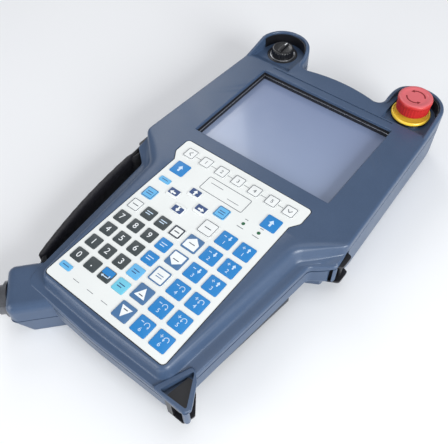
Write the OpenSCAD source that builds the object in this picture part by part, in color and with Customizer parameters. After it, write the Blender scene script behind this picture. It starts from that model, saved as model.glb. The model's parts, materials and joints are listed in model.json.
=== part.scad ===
// Teach pendant: a hand-held control box with a display, a keypad, an emergency
// stop, an enabling selector, two enabling levers at the back and a hand strap.
// Millimetres. It lies on its back: +Z out of the front face, +Y towards the
// two ears, +X to the right of someone who reads the display.
// Each sub-part is drawn from the middle of the display window, on the front
// face, and stand() lifts it so that the rear face lies on Z = 0.

/* [Display] */
// Width of the display window
window_w = 134; // [126:1:140]
// Height of the display window
window_h = 101; // [94:1:103]
// Depth of the glass under the front face
window_depth = 8.8; // [7:0.1:10]
// Thickness of the touch glass
glass_t = 2; // [1.5:0.1:3]
// Thickness of the display module
module_t = 6.5; // [5:0.5:9]
// Thickness of the black liner round the window
liner_t = 1.2; // [0.8:0.1:2]

/* [Housing] */
// Half width of the front face beside the keypad's top
face_half_w = 100.4; // [99:0.2:103]
// Half width of the front face at the ears
ear_half_w = 95.4; // [94.5:0.1:97]
// Height of the front face above the rear face
case_t = 48; // [46:0.5:54]
// Depth of the joint between the shells beside the display
joint_depth_top = 9; // [8:0.2:10]
// Depth of the joint between the shells beside the keypad
joint_depth_low = 18; // [16.5:0.5:20]
// Depth of the ledge that runs round the keypad
ledge_depth = 11.2; // [10:0.2:12]
// Depth of the lower shell's edge beside the keypad
rim_depth = 34; // [32:0.5:36]
// Wall left between the inside and the rear face
rear_wall = 3; // [2:0.5:4]
// Thickness of the gasket in the joint
seal_t = 0.8; // [0.4:0.1:1.2]

/* [Ears] */
// Distance of each ear's centre from the middle
ear_x = 68.5; // [67:0.5:70]
// Height of the ears' centres above the middle of the window
ear_y = 83; // [81:0.5:86]
// Outer radius of an ear
ear_r = 25; // [24.5:0.1:25.5]
// Height of the guard rim over the front face
guard_h = 8; // [5:0.5:11]
// Width of the guard rim
guard_t = 3.7; // [3:0.1:4.2]
// Depth of the dish in each ear
dish_depth = 4; // [3:0.5:5]
// Thickness of the panel that carries the controls in the ears
panel_t = 4; // [3:0.5:4.5]

/* [Emergency stop] */
// Diameter of the mushroom head
stop_head_d = 29.4; // [27:0.2:30]
// Height of the mushroom head
stop_head_h = 13; // [11:0.5:15]
// Gap under the head
stop_gap = 4.6; // [4.2:0.2:5]
// Outer diameter of the collar
stop_collar_d = 33.6; // [33:0.2:35]
// Diameter of the threaded barrel
stop_barrel_d = 22; // [20:0.5:24]
// Diameter of the stem
stop_stem_d = 8; // [6:0.5:9]
// Travel of the head
stop_travel = 4; // [2:0.5:4]

/* [Selector] */
// Diameter of the selector knob
knob_d = 21.6; // [19:0.2:24]
// Height of the selector knob
knob_h = 7.2; // [6:0.2:9]
// Diameter of the selector's bushing
bushing_d = 12; // [10:0.5:14]
// Diameter of the selector's shaft
shaft_d = 6; // [5:0.5:7]

/* [Keypad] */
// Width of the keypad sheet beside the keys
sheet_w = 113.6; // [112:0.2:114]
// Width of the keypad sheet at the function keys
sheet_top_w = 124.4; // [123:0.2:125]
// Length of the keypad sheet
sheet_l = 161.5; // [160:0.5:162]
// Thickness of the keypad sheet
sheet_t = 0.8; // [0.5:0.1:1]
// Side of a small key
key_s = 10.5; // [9:0.1:11.5]
// Side of a large key
key_l = 13.2; // [12:0.1:14]
// Height of the keys over the sheet
key_rise = 0.55; // [0.3:0.05:0.8]
// Travel of a key
key_travel = 0.5; // [0.3:0.05:0.6]
// Thickness of the keypad's circuit board
board_t = 1.6; // [1:0.2:2]

/* [Enabling levers] */
// Length of an enabling lever
lever_l = 92; // [80:1:96]
// Reach of an enabling lever from its pin
lever_w = 17; // [14:0.5:18]
// Thickness of an enabling lever
lever_t = 5.6; // [4.5:0.2:6.5]
// Diameter of a lever's pin
pin_d = 3; // [2.5:0.5:3.5]

/* [Strap and socket] */
// Thickness of the strap's pad
pad_t = 7; // [5:0.5:8]
// Height of the strap's pad
pad_h = 32; // [28:0.5:33]
// Thickness of the strap's webbing
web_t = 2.2; // [1.5:0.1:2.4]
// Outer diameter of the cable socket's shell
socket_d = 22; // [20:0.5:23]
// Length of the socket's shell outside the housing
socket_out = 8; // [6:0.5:9]

/* [Hidden] */
$fn = 48;
SHIFT_NAMES = ["key_shift_left", "key_shift_right"];
CURSORS = ["key_cursor_up", "key_cursor_right", "key_cursor_down", "key_cursor_left"];
FUNCTIONS = [for (i = [1:7]) str("key_function_", i)];
SIDES = [for (i = [1:6]) str("key_side_", i)];
JOGS = [for (i = [1:6], s = ["minus", "plus"]) str("key_jog_", i, "_", s)];
KEYS = concat(SHIFT_NAMES, FUNCTIONS, CURSORS, SIDES, JOGS);

tiny = 0.01;
fit = 0.2;          // clearance of pieces that drop into a pocket
run = 0.05;         // radial clearance of a turning or sliding fit
slate = [0.33, 0.39, 0.47];
black = [0.10, 0.10, 0.12];

// ---------------------------------------------------------------- outlines
function unit(v) = v / norm(v);
function mix(a, b, t) = a + (b - a) * t;
function ramp(x, a, b) =
    let (t = min(1, max(0, (x - a) / (b - a))))
    t * t * (3 - 2 * t);

// Points of one rounded corner b between a and c, with n steps of arc, and m
// steps of straight line after it.
function corner(a, b, c, r, n) =
    let (u = unit(a - b),
         v = unit(c - b),
         half = acos(u * v) / 2,
         mid = b + unit(u + v) * r / sin(half),
         from = b + u * r / tan(half) - mid,
         to = b + v * r / tan(half) - mid,
         start = atan2(from.y, from.x),
         turn = atan2(to.y, to.x) - start,
         sweep = turn > 180 ? turn - 360 : turn < -180 ? turn + 360 : turn)
    [for (k = [0:n]) mid + r * [cos(start + sweep * k / n), sin(start + sweep * k / n)]];

// A closed outline from corners [x, y, radius, arc steps, straight steps].
function rounded(path) =
    let (count = len(path),
         arcs = [for (i = [0:count - 1])
             let (p = path[i], q = path[(i + count - 1) % count], s = path[(i + 1) % count])
             corner([q.x, q.y], [p.x, p.y], [s.x, s.y], p[2], p[3])])
    [for (i = [0:count - 1])
        let (arc = arcs[i], next = arcs[(i + 1) % count][0], steps = path[i][4])
        each concat(arc, [for (k = [1:1:steps - 1]) mix(arc[len(arc) - 1], next, k / steps)])];

function mirrored(side) =
    concat(side, [for (i = [len(side) - 2:-1:1])
        [-side[i].x, side[i].y, side[i][2], side[i][3], side[i - 1][4]]]);

// Moves each point of a clockwise outline outwards along its normal.
function grown(points, amounts) =
    let (count = len(points))
    [for (i = [0:count - 1])
        let (a = points[(i + count - 1) % count],
             b = points[(i + 1) % count],
             along = unit(b - a))
        points[i] + [-along.y, along.x] * (is_list(amounts) ? amounts[i] : amounts)];

function box_path(w, h, r, n = 4) =
    [[w / 2, h / 2, r, n, 1], [w / 2, -h / 2, r, n, 1], [-w / 2, -h / 2, r, n, 1], [-w / 2, h / 2, r, n, 1]];

// The right half of the housing's outline, clockwise from the top. The upper
// stretch is the same at every level; shoulder, low and foot change.
function housing(shoulder, waist, low, foot) =
    rounded(mirrored([
        [0, ear_y + 1, 138, 8, 1],
        [ear_x - ear_r - 0.1, ear_y - 9.4, 9, 5, 1],
        [ear_x - ear_r, ear_y + ear_r, ear_r - 0.1, 9, 1],
        [ear_x + ear_r, ear_y + ear_r, ear_r - 0.1, 9, 1],
        [ear_half_w, ear_y - 25, 120, 3, 6],
        concat(shoulder, [5, 3]),
        concat(waist, [5, 7]),
        concat(low, [6, 4]),
        [0, foot, 300, 4, 4]]));

foot_y = -231.5;                    // foot of the raised keypad field
FACE = [[face_half_w, -76, 9], [face_half_w - 27.4, -102, 14], [60, foot_y + 1.5, 8], foot_y];
LEDGE = [[face_half_w + 0.4, -88.5, 5], [face_half_w - 16, -101, 8], [70.5, foot_y - 6, 9], foot_y - 8];
REAR = [[face_half_w - 2, -86, 12], [60, -106, 8], [46, foot_y + 8, 10], foot_y + 6];
function outline(level) = housing(level[0], level[1], level[2], level[3]);

// 0 beside the display, 1 beside the keypad
function lower(p) = ramp(-p.y, 70, 98);
// The roll at the keypad's edge gets tighter towards the foot
function roll(p) = mix(1, 0.5, ramp(-p.y, 100, 215));
// Height of the guard rim at a point of the outline
function guard(p) =
    let (x = abs(p.x),
         outer = min(1, max(0, (x - ear_x + ear_r) / (2 * ear_r))))
    x < ear_x - ear_r - 6 ? 0 :
    guard_h * mix(ramp(p.y, ear_y - 7, ear_y + 17), ramp(p.y, ear_y - 16, ear_y - 4), outer);

// One ring of a shell: [level, upper z, upper growth, lower z, lower growth, 1 where the guard counts]
function ring(r) =
    let (base = outline(r[0]),
         points = grown(base, [for (p = base) mix(r[2], r[4] * roll(p), lower(p))]))
    [for (i = [0:len(base) - 1])
        [points[i].x, points[i].y, mix(r[1], r[3], lower(base[i])) + r[5] * guard(base[i])]];

// A ring is capped by triangles between its upper and its lower chain, from left to right
function far(r, s) =
    let (most = max([for (p = r) s * p.x]))
    [for (i = [0:len(r) - 1]) if (s * r[i].x == most) i][0];
function chain(n, a, b, step) = a == b ? [b] : concat([a], chain(n, (a + step + n) % n, b, step));
function zip(r, u, l, i = 0, j = 0) =
    i == len(u) - 1 && j == len(l) - 1 ? [] :
    j == len(l) - 1 || (i < len(u) - 1 && r[u[i + 1]].x <= r[l[j + 1]].x) ?
        concat([[u[i], u[i + 1], l[j]]], zip(r, u, l, i + 1, j)) :
        concat([[u[i], l[j + 1], l[j]]], zip(r, u, l, i, j + 1));
function cap(r) =
    let (left = far(r, -1), right = far(r, 1), n = len(r),
         t = zip(r, chain(n, left, right, 1), chain(n, left, right, -1)))
    [for (f = t) if (f[0] != f[1] && f[1] != f[2] && f[2] != f[0]) f];

// A closed skin through rings of equal length, from the top down
module skin(rings) {
    count = len(rings[0]);
    last = len(rings) - 1;
    polyhedron(
        points = [for (r = rings) each r],
        faces = concat(
            cap(rings[0]),
            [for (f = cap(rings[last])) [for (k = [2, 1, 0]) last * count + f[k]]],
            [for (k = [0:last - 1], i = [0:count - 1])
                let (a = k * count + i, b = k * count + (i + 1) % count)
                each [[a, a + count, b], [b, a + count, b + count]]]),
        convexity = 10);
}

module prism(points, low, high) {
    translate([0, 0, low])
        linear_extrude(high - low)
            polygon(points);
}

module hole(x, y, r, low, high) {
    translate([x, y, low])
        cylinder(r = r, h = high - low);
}

module stand() {
    translate([0, -(ear_y + ear_r + min(block_foot, socket_foot)) / 2, case_t])
        children();
}

// Cuts along the joint between the shells: everything over it, shifted by up
module over_joint(up, reach = 60) {
    rotate([90, 0, 90])
        translate([0, 0, -150])
            linear_extrude(300)
                polygon([
                    [150, reach], [150, -joint_depth_top + up], [-70, -joint_depth_top + up],
                    [-96, -joint_depth_low + up], [-300, -joint_depth_low + up], [-300, reach]]);
}

// ---------------------------------------------------------------- the block with the cable socket
block_turn = 228;                   // its axis, from +X
block_end = [22.4 - face_half_w, -250.1];   // middle of its end face
block_half = 20;
block_r = 5;
block_top = -ledge_depth - 0.8;
block_split = -30;
block_foot = block_end.y + sin(block_turn) * -block_r - cos(block_turn) * -(block_half - block_r) - block_r;
socket_z = -28;
socket_foot = block_end.y + sin(block_turn) * socket_out + cos(block_turn) * socket_d / 2;

module at_block() {
    translate([block_end.x, block_end.y, 0])
        rotate(block_turn)
            children();
}

module block_upper(extra = 0) {
    at_block()
        hull() {
            for (x = [-42, -block_r], y = [-1, 1]) {
                translate([x, y * (block_half - block_r), block_split])
                    cylinder(r = block_r + extra, h = tiny, $fn = 24);
                translate([x, y * (block_half - block_r), block_top - block_r])
                    sphere(r = block_r + extra, $fn = 24);
            }
        }
}

module block_lower() {
    at_block() {
        hull() {
            for (x = [-42, -block_r], y = [-1, 1])
                translate([x, y * (block_half - block_r), block_split - tiny])
                    cylinder(r = block_r, h = tiny, $fn = 24);
            for (x = [-46, -block_r - 8], y = [-1, 1])
                translate([x, y * (block_half - block_r - 1), -case_t])
                    cylinder(r = block_r - 1, h = tiny, $fn = 24);
        }
        // boss round the socket, where the end face leans back
        intersection() {
            translate([-14, 0, socket_z])
                rotate([0, 90, 0])
                    cylinder(r = socket_d / 2 + 2.5, h = 14);
            translate([-20, -30, -case_t])
                cube([40, 60, case_t + block_split - tiny]);
        }
    }
}

module socket_bore() {
    at_block()
        translate([-26, 0, socket_z])
            rotate([0, 90, 0])
                cylinder(r = socket_d / 2 + run, h = 40);
}

// ---------------------------------------------------------------- keypad layout
sheet_x = -0.7;
sheet_top = -64.3;
sheet_z = -0.3;                     // top of the sheet
sheet_under = sheet_z - sheet_t;
skirt = 0.6;                        // the keys' skirts under the sheet
key_foot = sheet_under - 0.8;
dome_top = key_foot - key_travel - 0.05;
dome_h = 0.8;
board_top = dome_top - dome_h;

number_pitch = [14.2, -14.55];
number_start = [-48.8, -142.8];
jog_pitch = [17.1, -17.58];
jog_start = [27, -126];
side_x = 9.7;
function_margin = 12.7;             // from the sheet's edge to the middle of the outer function keys
function_pitch = (sheet_top_w - 2 * function_margin) / 6;
function_start = [sheet_x - 0.25 - 3 * function_pitch, -75.5];
cursor_mid = [-20, -115.8];

function function_key(i) = function_start + [function_pitch * i, 0];
function side_key(i) = [side_x, jog_start.y + jog_pitch.y * i];
function jog_key(i, s) = jog_start + [jog_pitch.x * s, jog_pitch.y * i];
function number_key(c, r) = number_start + [number_pitch.x * c, number_pitch.y * r];
function cursor_key(i) = cursor_mid + [[0, 9.7], [13.8, 0], [0, -9.7], [-13.8, 0]][i];
SHIFTS = [[-46.5, -93.4], [44.2, -93.4]];

// Every key as [centre, width, height]; the fixed ones come first
FIXED = concat(
    [[[-48, -110], key_s, 5], [[8.5, -108], key_s, key_s], [[-48.4, -127.2], key_s, key_s],
     [[-49, -213.4], key_s, 5]],
    [for (r = [0:4], c = [0:3]) [number_key(c, r), key_s, key_s]]);
MOVING = concat(
    [for (p = SHIFTS) [p, key_l, key_l]],
    [for (i = [0:6]) [function_key(i), key_s, key_s]],
    [for (i = [0:3]) [cursor_key(i), key_s, key_s - 2]],
    [for (i = [0:5]) [side_key(i), key_l, key_l]],
    [for (i = [0:5], s = [0, 1]) [jog_key(i, s), key_l, key_l]]);
LAMPS = [[27.5, -106], [41.8, -106]];

function sheet_outline(extra) =
    let (w = sheet_w / 2, t = sheet_top_w / 2,
         side = [
             [t, sheet_top, 3, 4, 1],
             [t, sheet_top - 15.5, 3, 2, 1],
             [w, sheet_top - 23.5, 3, 2, 1],
             [w, sheet_top - sheet_l, 3, 4, 1]],
         points = rounded(concat(side, [for (i = [3:-1:0])
             [-side[i].x, side[i].y, side[i][2], side[i][3], 1]])))
    [for (p = grown(points, extra)) p + [sheet_x, 0]];

module key_pad(k) {
    translate([k[0].x, k[0].y, 0]) {
        prism(rounded(box_path(k[1], k[2], 1.2)), key_foot, sheet_z + key_rise);
        prism(rounded(box_path(k[1] + 2 * skirt, k[2] + 2 * skirt, 1.6)), key_foot, sheet_under - 0.1);
    }
}

module key_node(i) {
    blue = [0.12, 0.45, 0.85];
    pale = [0.90, 0.91, 0.90];
    color(i < 2 || i > 18 ? blue : pale)
        stand()
            key_pad(MOVING[i]);
}

module keypad_number_keys() {
    color([0.24, 0.27, 0.28])
        stand()
            for (k = FIXED)
                key_pad(k);
}

module keypad_sheet() {
    color([0.92, 0.92, 0.91])
        stand()
            difference() {
                prism(sheet_outline(0), sheet_under, sheet_z);
                for (k = concat(FIXED, MOVING))
                    translate([k[0].x, k[0].y, 0])
                        prism(rounded(box_path(k[1] + 0.3, k[2] + 0.3, 1.3)), sheet_under - 1, 1);
                for (p = LAMPS)
                    hole(p.x, p.y, 1.5, sheet_under - 1, 1);
            }
}

module snap_domes() {
    color([0.80, 0.80, 0.78])
        stand()
            for (k = concat(FIXED, MOVING))
                translate([k[0].x, k[0].y, board_top]) {
                    cylinder(d = min(k[2] - 0.6, 9), h = dome_h / 2, $fn = 24);
                    cylinder(d = min(k[2] - 0.6, 9) * 0.6, h = dome_h, $fn = 24);
                }
}

module keypad_board() {
    color([0.10, 0.40, 0.25])
        stand() {
            prism(sheet_outline(-0.6), board_top - board_t, board_top);
            for (p = LAMPS)
                hole(p.x, p.y, 1.3, board_top, sheet_z);
        }
}

// ---------------------------------------------------------------- display
module window_cut(extra, low, high) {
    prism(rounded(box_path(window_w + 2 * extra, window_h + 2 * extra, max(0.5, 1 + extra))), low, high);
}

glass_margin = 4;
collar_t = glass_margin + 2;
bay_half_w = window_w / 2 + 19;
bay_top = window_h / 2 + 11.5;
bay_foot = -window_h / 2 - 10.5;

module display_glass() {
    color([0.62, 0.70, 0.80])
        stand()
            window_cut(glass_margin, -window_depth - glass_t, -window_depth);
}

module window_liner() {
    color(black)
        stand()
            difference() {
                window_cut(-tiny, -window_depth, -2.2);
                window_cut(-liner_t, -window_depth - 1, -3.4);
                window_cut(-liner_t * 0.5, -3.5, 0);
            }
}

module display_module() {
    color([0.70, 0.71, 0.72])
        stand()
            window_cut(8.5, -window_depth - glass_t - module_t, -window_depth - glass_t);
}

board_z = -31;                      // underside of the main board
board_w = 150;
board_h = 96;
POSTS = [for (x = [-1, 1], y = [-1, 1]) [x * (board_w / 2 - 5), y * (board_h / 2 - 5)]];

module main_board() {
    color([0.10, 0.40, 0.25])
        stand()
            difference() {
                union() {
                    translate([-board_w / 2, -board_h / 2, board_z])
                        cube([board_w, board_h, board_t]);
                    translate([-30, -20, board_z + board_t])
                        cube([28, 28, 3]);
                    translate([20, -30, board_z + board_t])
                        cube([18, 40, 5]);
                }
                for (p = POSTS)
                    hole(p.x, p.y, 1.6, board_z - 1, board_z + 8);
            }
}

// ---------------------------------------------------------------- screws
SCREWS = [[90, 40], [92, -52], [-90, 40], [-92, -52], [77.5, -107], [-77.5, -107], [50, -233], [-22, -234]];
screw_r = 1.5;
head_r = 2.8;
head_h = 2.4;
function screw_seat(p) = p.y < -90 ? -rim_depth + 5 : -case_t + 8;
function screw_tip(p) = p.y < -90 ? -joint_depth_low + 3 : -joint_depth_top + 4;

module screw_holes(r) {
    for (p = SCREWS)
        hole(p.x, p.y, r, -case_t - 1, screw_tip(p) + 0.5);
}

module case_screws() {
    color([0.55, 0.56, 0.58])
        stand()
            for (p = SCREWS) {
                hole(p.x, p.y, screw_r - run, screw_seat(p) - tiny, screw_tip(p));
                difference() {
                    hole(p.x, p.y, head_r, screw_seat(p) - head_h, screw_seat(p));
                    translate([p.x, p.y, screw_seat(p) - head_h - tiny])
                        cylinder(r = 1.4, h = 1.3, $fn = 6);
                }
            }
}

// ---------------------------------------------------------------- ears
stop_at = [69, 81];
knob_at = [-70.5, 85];
dish_r = ear_r - guard_t;
panel_under = -dish_depth - panel_t;

dish_foot = ear_y - 22.5;           // where the floor meets the front face

// The dish follows the guard; on the stop's side it has a straight inner wall
function dish_plan(side) =
    let (start = side > 0 ? ear_x - 17.5 : ear_x - dish_r + 0.6,
         wall = [for (p = grown(outline(FACE), -guard_t)) if (p.x > start && p.y > dish_foot) p])
    concat([[start, dish_foot - 1], [start, wall[0].y]], wall, [[wall[len(wall) - 1].x, dish_foot - 1]]);

module dish(side) {
    slope_top = side > 0 ? stop_at.y - stop_collar_d / 2 - 0.4 : dish_foot + 8.5;
    mirror([side > 0 ? 0 : 1, 0, 0])
        intersection() {
            prism(dish_plan(side), -dish_depth, 40);
            // the floor climbs back to the front face on the display's side
            rotate([90, 0, 90])
                linear_extrude(120)
                    polygon([[150, -dish_depth], [slope_top, -dish_depth], [dish_foot, 0.01],
                             [dish_foot, 40], [150, 40]]);
        }
}

// ---------------------------------------------------------------- lugs for the strap
anchor_top = -ledge_depth - 2;
anchor_foot = -rim_depth - 2;
post_r = 1.8;
web_gap = 0.3;                      // between the webbing and its post
anchor_at = [face_half_w - 0.8, -79];
anchor_out = post_r + web_gap + web_t;
low_anchor_at = [79.5, foot_y + 1.5];

slot_w = 4.6;                       // free width behind a post
function anchor_plan(extra) =
    let (x = anchor_at.x, y = anchor_at.y,
         out = x + anchor_out + extra, in = x - post_r - slot_w - 2.6 - extra)
    rounded([
        [out, y + 6 + extra, 2, 3, 1], [out, y - 6 - extra, 3, 3, 1],
        [in, y - 13 - extra, 0.5, 1, 1], [in, y + 10 + extra, 0.5, 1, 1]]);

function low_anchor_plan(extra) =
    let (x = low_anchor_at.x, y = low_anchor_at.y)
    rounded([
        [x + 4 + extra, y + extra, 2, 3, 1], [x + 1 + extra, y - 8.5 - extra, 2, 3, 1],
        [x - 13 - extra, y - 8.5 - extra, 0.5, 1, 1], [x - 13 - extra, y - 4, 0.5, 1, 1],
        [x - 10, y + 12 + extra, 0.5, 1, 1], [x - 5.5 + extra, y + 12 + extra, 0.5, 1, 1]]);

module anchor(plan, post, gap) {
    difference() {
        prism(plan, anchor_foot, anchor_top);
        // the webbing's way round the post
        difference() {
            translate([0, 0, anchor_foot + 2])
                linear_extrude(anchor_top - anchor_foot - 4)
                    polygon(gap);
            hole(post.x, post.y, post_r, anchor_foot, anchor_top);
        }
    }
}

module upper_anchor() {
    x = anchor_at.x;
    y = anchor_at.y;
    back = x - post_r - slot_w;
    anchor(anchor_plan(0), anchor_at,
           [[x + 12, y - 20], [x + 12, y + 20], [back, y + 20], [back, y - 20]]);
}

module lower_anchor() {
    x = low_anchor_at.x;
    y = low_anchor_at.y;
    anchor(low_anchor_plan(0), low_anchor_at + [-0.5, -2.5],
           [[x + 8, y - 20], [x + 8, y + 20], [x - 3.6, y + 20], [x - 7.5, y - 2], [x - 7.5, y - 20]]);
}

module strap_anchors() {
    color(black)
        stand() {
            upper_anchor();
            mirror([1, 0, 0])
                upper_anchor();
            lower_anchor();
        }
}

// ---------------------------------------------------------------- shells
module front_skin() {
    skin([for (r = [
        [FACE, 0, -4.6, 0, -9, 0],
        [FACE, 0, -4, -0.1, -6.6, 1],
        [FACE, -0.1, -1.8, -0.5, -4.3, 1],
        [FACE, -0.6, -0.7, -1.4, -2.4, 1],
        [FACE, -1.6, -0.15, -2.9, -1, 1],
        [FACE, -2.8, 0, -4.8, 0, 1],
        [FACE, -4.4, 0, -7, 0.9, 0],
        [FACE, -6, 0, -9, 1.9, 0],
        [FACE, -7.4, 0, -ledge_depth + 0.7, 3.3, 0],
        [FACE, -8.4, 0, -ledge_depth, 5.4, 0],
        [LEDGE, -9.4, 0, -ledge_depth - 0.3, -2.6, 0],
        [LEDGE, -10.4, 0, -ledge_depth - 0.9, -1, 0],
        [LEDGE, -11.6, 0, -ledge_depth - 2.2, 0, 0],
        [LEDGE, -25, 0, -25, 0, 0]]) ring(r)]);
}

module low_lug() {
    x = low_anchor_at.x;
    y = low_anchor_at.y;
    difference() {
        prism(rounded([
            [x - 12, y + 20, 3, 2, 1], [x - 2, y + 11, 3, 2, 1], [x + 8.5, y - 4, 3.5, 4, 1],
            [x + 5.5, y - 9, 3, 4, 1], [x - 24, y - 8.5, 2, 2, 1]]),
            anchor_top + fit, -ledge_depth + 0.2);
        prism(rounded([
            [x - 10.5, y + 16, 1, 2, 1], [x - 0.5, y - 1.5, 1, 2, 1], [x - 17, y - 4.5, 1, 2, 1]]),
            -30, 0);
    }
}

module shell_pockets() {
    low_web(web_gap);
    lever_switch(fit);
    for (s = [-1, 1]) {
        hole(s * ear_x, ear_y, dish_r - 2.5, -case_t + rear_wall + 1, panel_under);
        mirror([s < 0 ? 1 : 0, 0, 0]) {
            prism(anchor_plan(fit), -case_t - 1, 20);
            mirror([1, 0, 0])
                post_webs(web_gap);
        }
    }
    prism(low_anchor_plan(fit), -case_t - 1, anchor_top + fit);
}

module front_case() {
    color(slate)
        stand()
            difference() {
                union() {
                    intersection() {
                        front_skin();
                        over_joint(seal_t / 2);
                    }
                    block_upper();
                    low_lug();
                }
                // display bay behind the face, with a collar round the window
                difference() {
                    prism([[-bay_half_w, bay_foot], [-bay_half_w, bay_top],
                           [bay_half_w, bay_top], [bay_half_w, bay_foot]], -60, -3);
                    window_cut(collar_t, -window_depth, 0);
                }
                window_cut(0, -20, 10);
                translate([-63, 57.8, -1.1])
                    cube([126, 1.4, 5]);
                // keypad field
                prism(sheet_outline(0.4), sheet_under, 10);
                prism(sheet_outline(-2), board_top - 1, 10);
                prism(sheet_outline(-0.3), -60, board_top);
                for (s = [-1, 1])
                    dish(s);
                hole(stop_at.x, stop_at.y, stop_barrel_d / 2 + run, -20, 0);
                hole(knob_at.x, knob_at.y, bushing_d / 2 + run, -20, 0);
                shell_pockets();
                screw_holes(screw_r);
                socket_bore();
            }
}

module rear_skin() {
    skin([for (r = [
        [LEDGE, -5, 0, -5, 0, 0],
        [LEDGE, -30, 0, -rim_depth + 3.4, 0, 0],
        [LEDGE, -36, 0, -rim_depth + 1.4, -0.9, 0],
        [LEDGE, -40, -0.2, -rim_depth, -3.4, 0],
        [REAR, -case_t + 6, -0.4, -rim_depth - 0.5, 2, 0],
        [REAR, -case_t + 3.6, -1.3, -rim_depth - 2.5, 0.4, 0],
        [REAR, -case_t + 1.4, -3.2, -case_t + 2.5, 0, 0],
        [REAR, -case_t, -6.2, -case_t, -2.6, 0]]) ring(r)]);
}

lever_turn = 7;
lever_mid = [58.5, -158];
lever_z = -rim_depth - 6.4;         // height of a lever's pin

module at_lever() {
    translate([lever_mid.x, lever_mid.y, lever_z])
        rotate([0, 0, -lever_turn])
            children();
}

// Room that a lever needs, also when it is pressed up to the grip
module lever_room() {
    at_lever() {
        translate([-lever_t / 2 - 0.6, -lever_l / 2 - fit, -case_t])
            cube([lever_t / 2 + lever_w + 2, lever_l + 2 * fit, case_t + lever_t / 2 + 0.8]);
        translate([3, -lever_l / 2 - fit, -case_t])
            cube([lever_w, lever_l + 2 * fit, case_t - rim_depth - lever_z]);
    }
}

module lever_knuckles() {
    for (y = [-1, 1])
        at_lever()
            translate([-2.8, y * (lever_l / 2 + 2.8) - 2, -2.8])
                cube([5.6, 4, -rim_depth - lever_z + 3.5]);
}

module rear_case() {
    color(slate)
        stand()
            difference() {
                union() {
                    difference() {
                        rear_skin();
                        over_joint(-seal_t / 2);
                        prism([[-bay_half_w - 2, bay_foot - 1], [-bay_half_w - 2, bay_top],
                               [bay_half_w + 2, bay_top], [bay_half_w + 2, bay_foot - 1]],
                              -case_t + rear_wall, 20);
                        prism([[-54, -66], [54, -66], [54, -106], [41, -218], [-41, -218], [-54, -106]],
                              -case_t + rear_wall, 20);
                        block_upper(fit);
                    }
                    block_lower();
                    for (s = [0, 1])
                        mirror([s, 0, 0])
                            lever_knuckles();
                    for (p = POSTS)
                        hole(p.x, p.y, 3.5, -case_t + 1, board_z);
                }
                shell_pockets();
                for (s = [0, 1])
                    mirror([s, 0, 0])
                        lever_room();
                screw_holes(screw_r + 0.2);
                for (p = SCREWS)
                    hole(p.x, p.y, head_r + fit, -case_t - 1, screw_seat(p));
                for (p = POSTS)
                    hole(p.x, p.y, 1.3, board_z - 8, board_z + 1);
                for (s = [0, 1])
                    mirror([s, 0, 0])
                        at_lever()
                            rotate([90, 0, 0])
                                translate([0, 0, -lever_l / 2 - 6])
                                    cylinder(d = pin_d, h = lever_l + 12);
                socket_bore();
            }
}

module case_seal() {
    color(black)
        stand()
            difference() {
                prism(grown(outline(LEDGE), -0.9), -30, 0);
                prism(grown(outline(LEDGE), -2.9), -31, 1);
                over_joint(seal_t / 2);
                difference() {
                    translate([-150, -300, -60])
                        cube([300, 450, 70]);
                    over_joint(-seal_t / 2);
                }
                block_upper(fit);
                shell_pockets();
                for (s = [0, 1])
                    mirror([s, 0, 0])
                        lever_room();
                screw_holes(screw_r + 0.2);
            }
}

// ---------------------------------------------------------------- emergency stop
stop_floor = stop_gap - stop_travel - 0.4;
barrel_end = panel_under - 6;
stem_end = barrel_end - 2;
stem_top = stop_gap + stop_head_h - 5;

module estop_collar() {
    outer = stop_collar_d / 2;
    well = stop_head_d / 2 + 0.5;
    bore = stop_stem_d / 2 + run;
    barrel = stop_barrel_d / 2;
    color([0.95, 0.78, 0.15])
        stand()
            translate([stop_at.x, stop_at.y, 0])
                rotate_extrude()
                    polygon([
                        [bore, barrel_end], [barrel, barrel_end], [barrel, -dish_depth],
                        [outer, -dish_depth], [outer, 0.6], [outer - 0.4, 1.3], [well, 2.2],
                        [well, stop_floor], [bore, stop_floor]]);
}

module estop_stem() {
    color([0.15, 0.15, 0.16])
        stand()
            hole(stop_at.x, stop_at.y, stop_stem_d / 2, stem_end, stem_top);
}

module estop_head() {
    r = stop_head_d / 2;
    top = stop_gap + stop_head_h;
    bore = stop_stem_d / 2 + run;
    color([0.80, 0.10, 0.10])
        stand()
            translate([stop_at.x, stop_at.y, 0])
                rotate_extrude()
                    polygon([
                        [bore, stop_gap], [r - 1.2, stop_gap], [r - 0.6, stop_gap + 0.6],
                        [r - 0.3, top - 4], [r, top - 3], [r, top - 1.5], [r - 0.5, top - 0.5],
                        [r - 1.6, top], [r - 4, top], [r - 5, top - 0.5], [0, top - 0.5],
                        [0, stem_top + run], [bore, stem_top + run]]);
}

module estop_contacts() {
    color([0.75, 0.12, 0.12])
        stand()
            difference() {
                translate([stop_at.x - 11, stop_at.y - 11, barrel_end - 22])
                    cube([22, 22, 22]);
                hole(stop_at.x, stop_at.y, stop_stem_d / 2 + fit, stem_end - stop_travel - 1, 0);
            }
}

module nut(at, bore, across, h) {
    translate([at.x, at.y, panel_under - h])
        difference() {
            cylinder(r = across, h = h, $fn = 6);
            translate([0, 0, -1])
                cylinder(r = bore + run, h = h + 2);
        }
}

module panel_nuts() {
    color([0.65, 0.66, 0.68])
        stand() {
            nut(stop_at, stop_barrel_d / 2, stop_barrel_d / 2 + 3.5, 3);
            nut(knob_at, bushing_d / 2, bushing_d / 2 + 3, 2.5);
        }
}

// ---------------------------------------------------------------- selector
bezel_t = 0.35;
knob_foot = -dish_depth + bezel_t + 0.1;
bushing_end = panel_under - 5;

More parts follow.
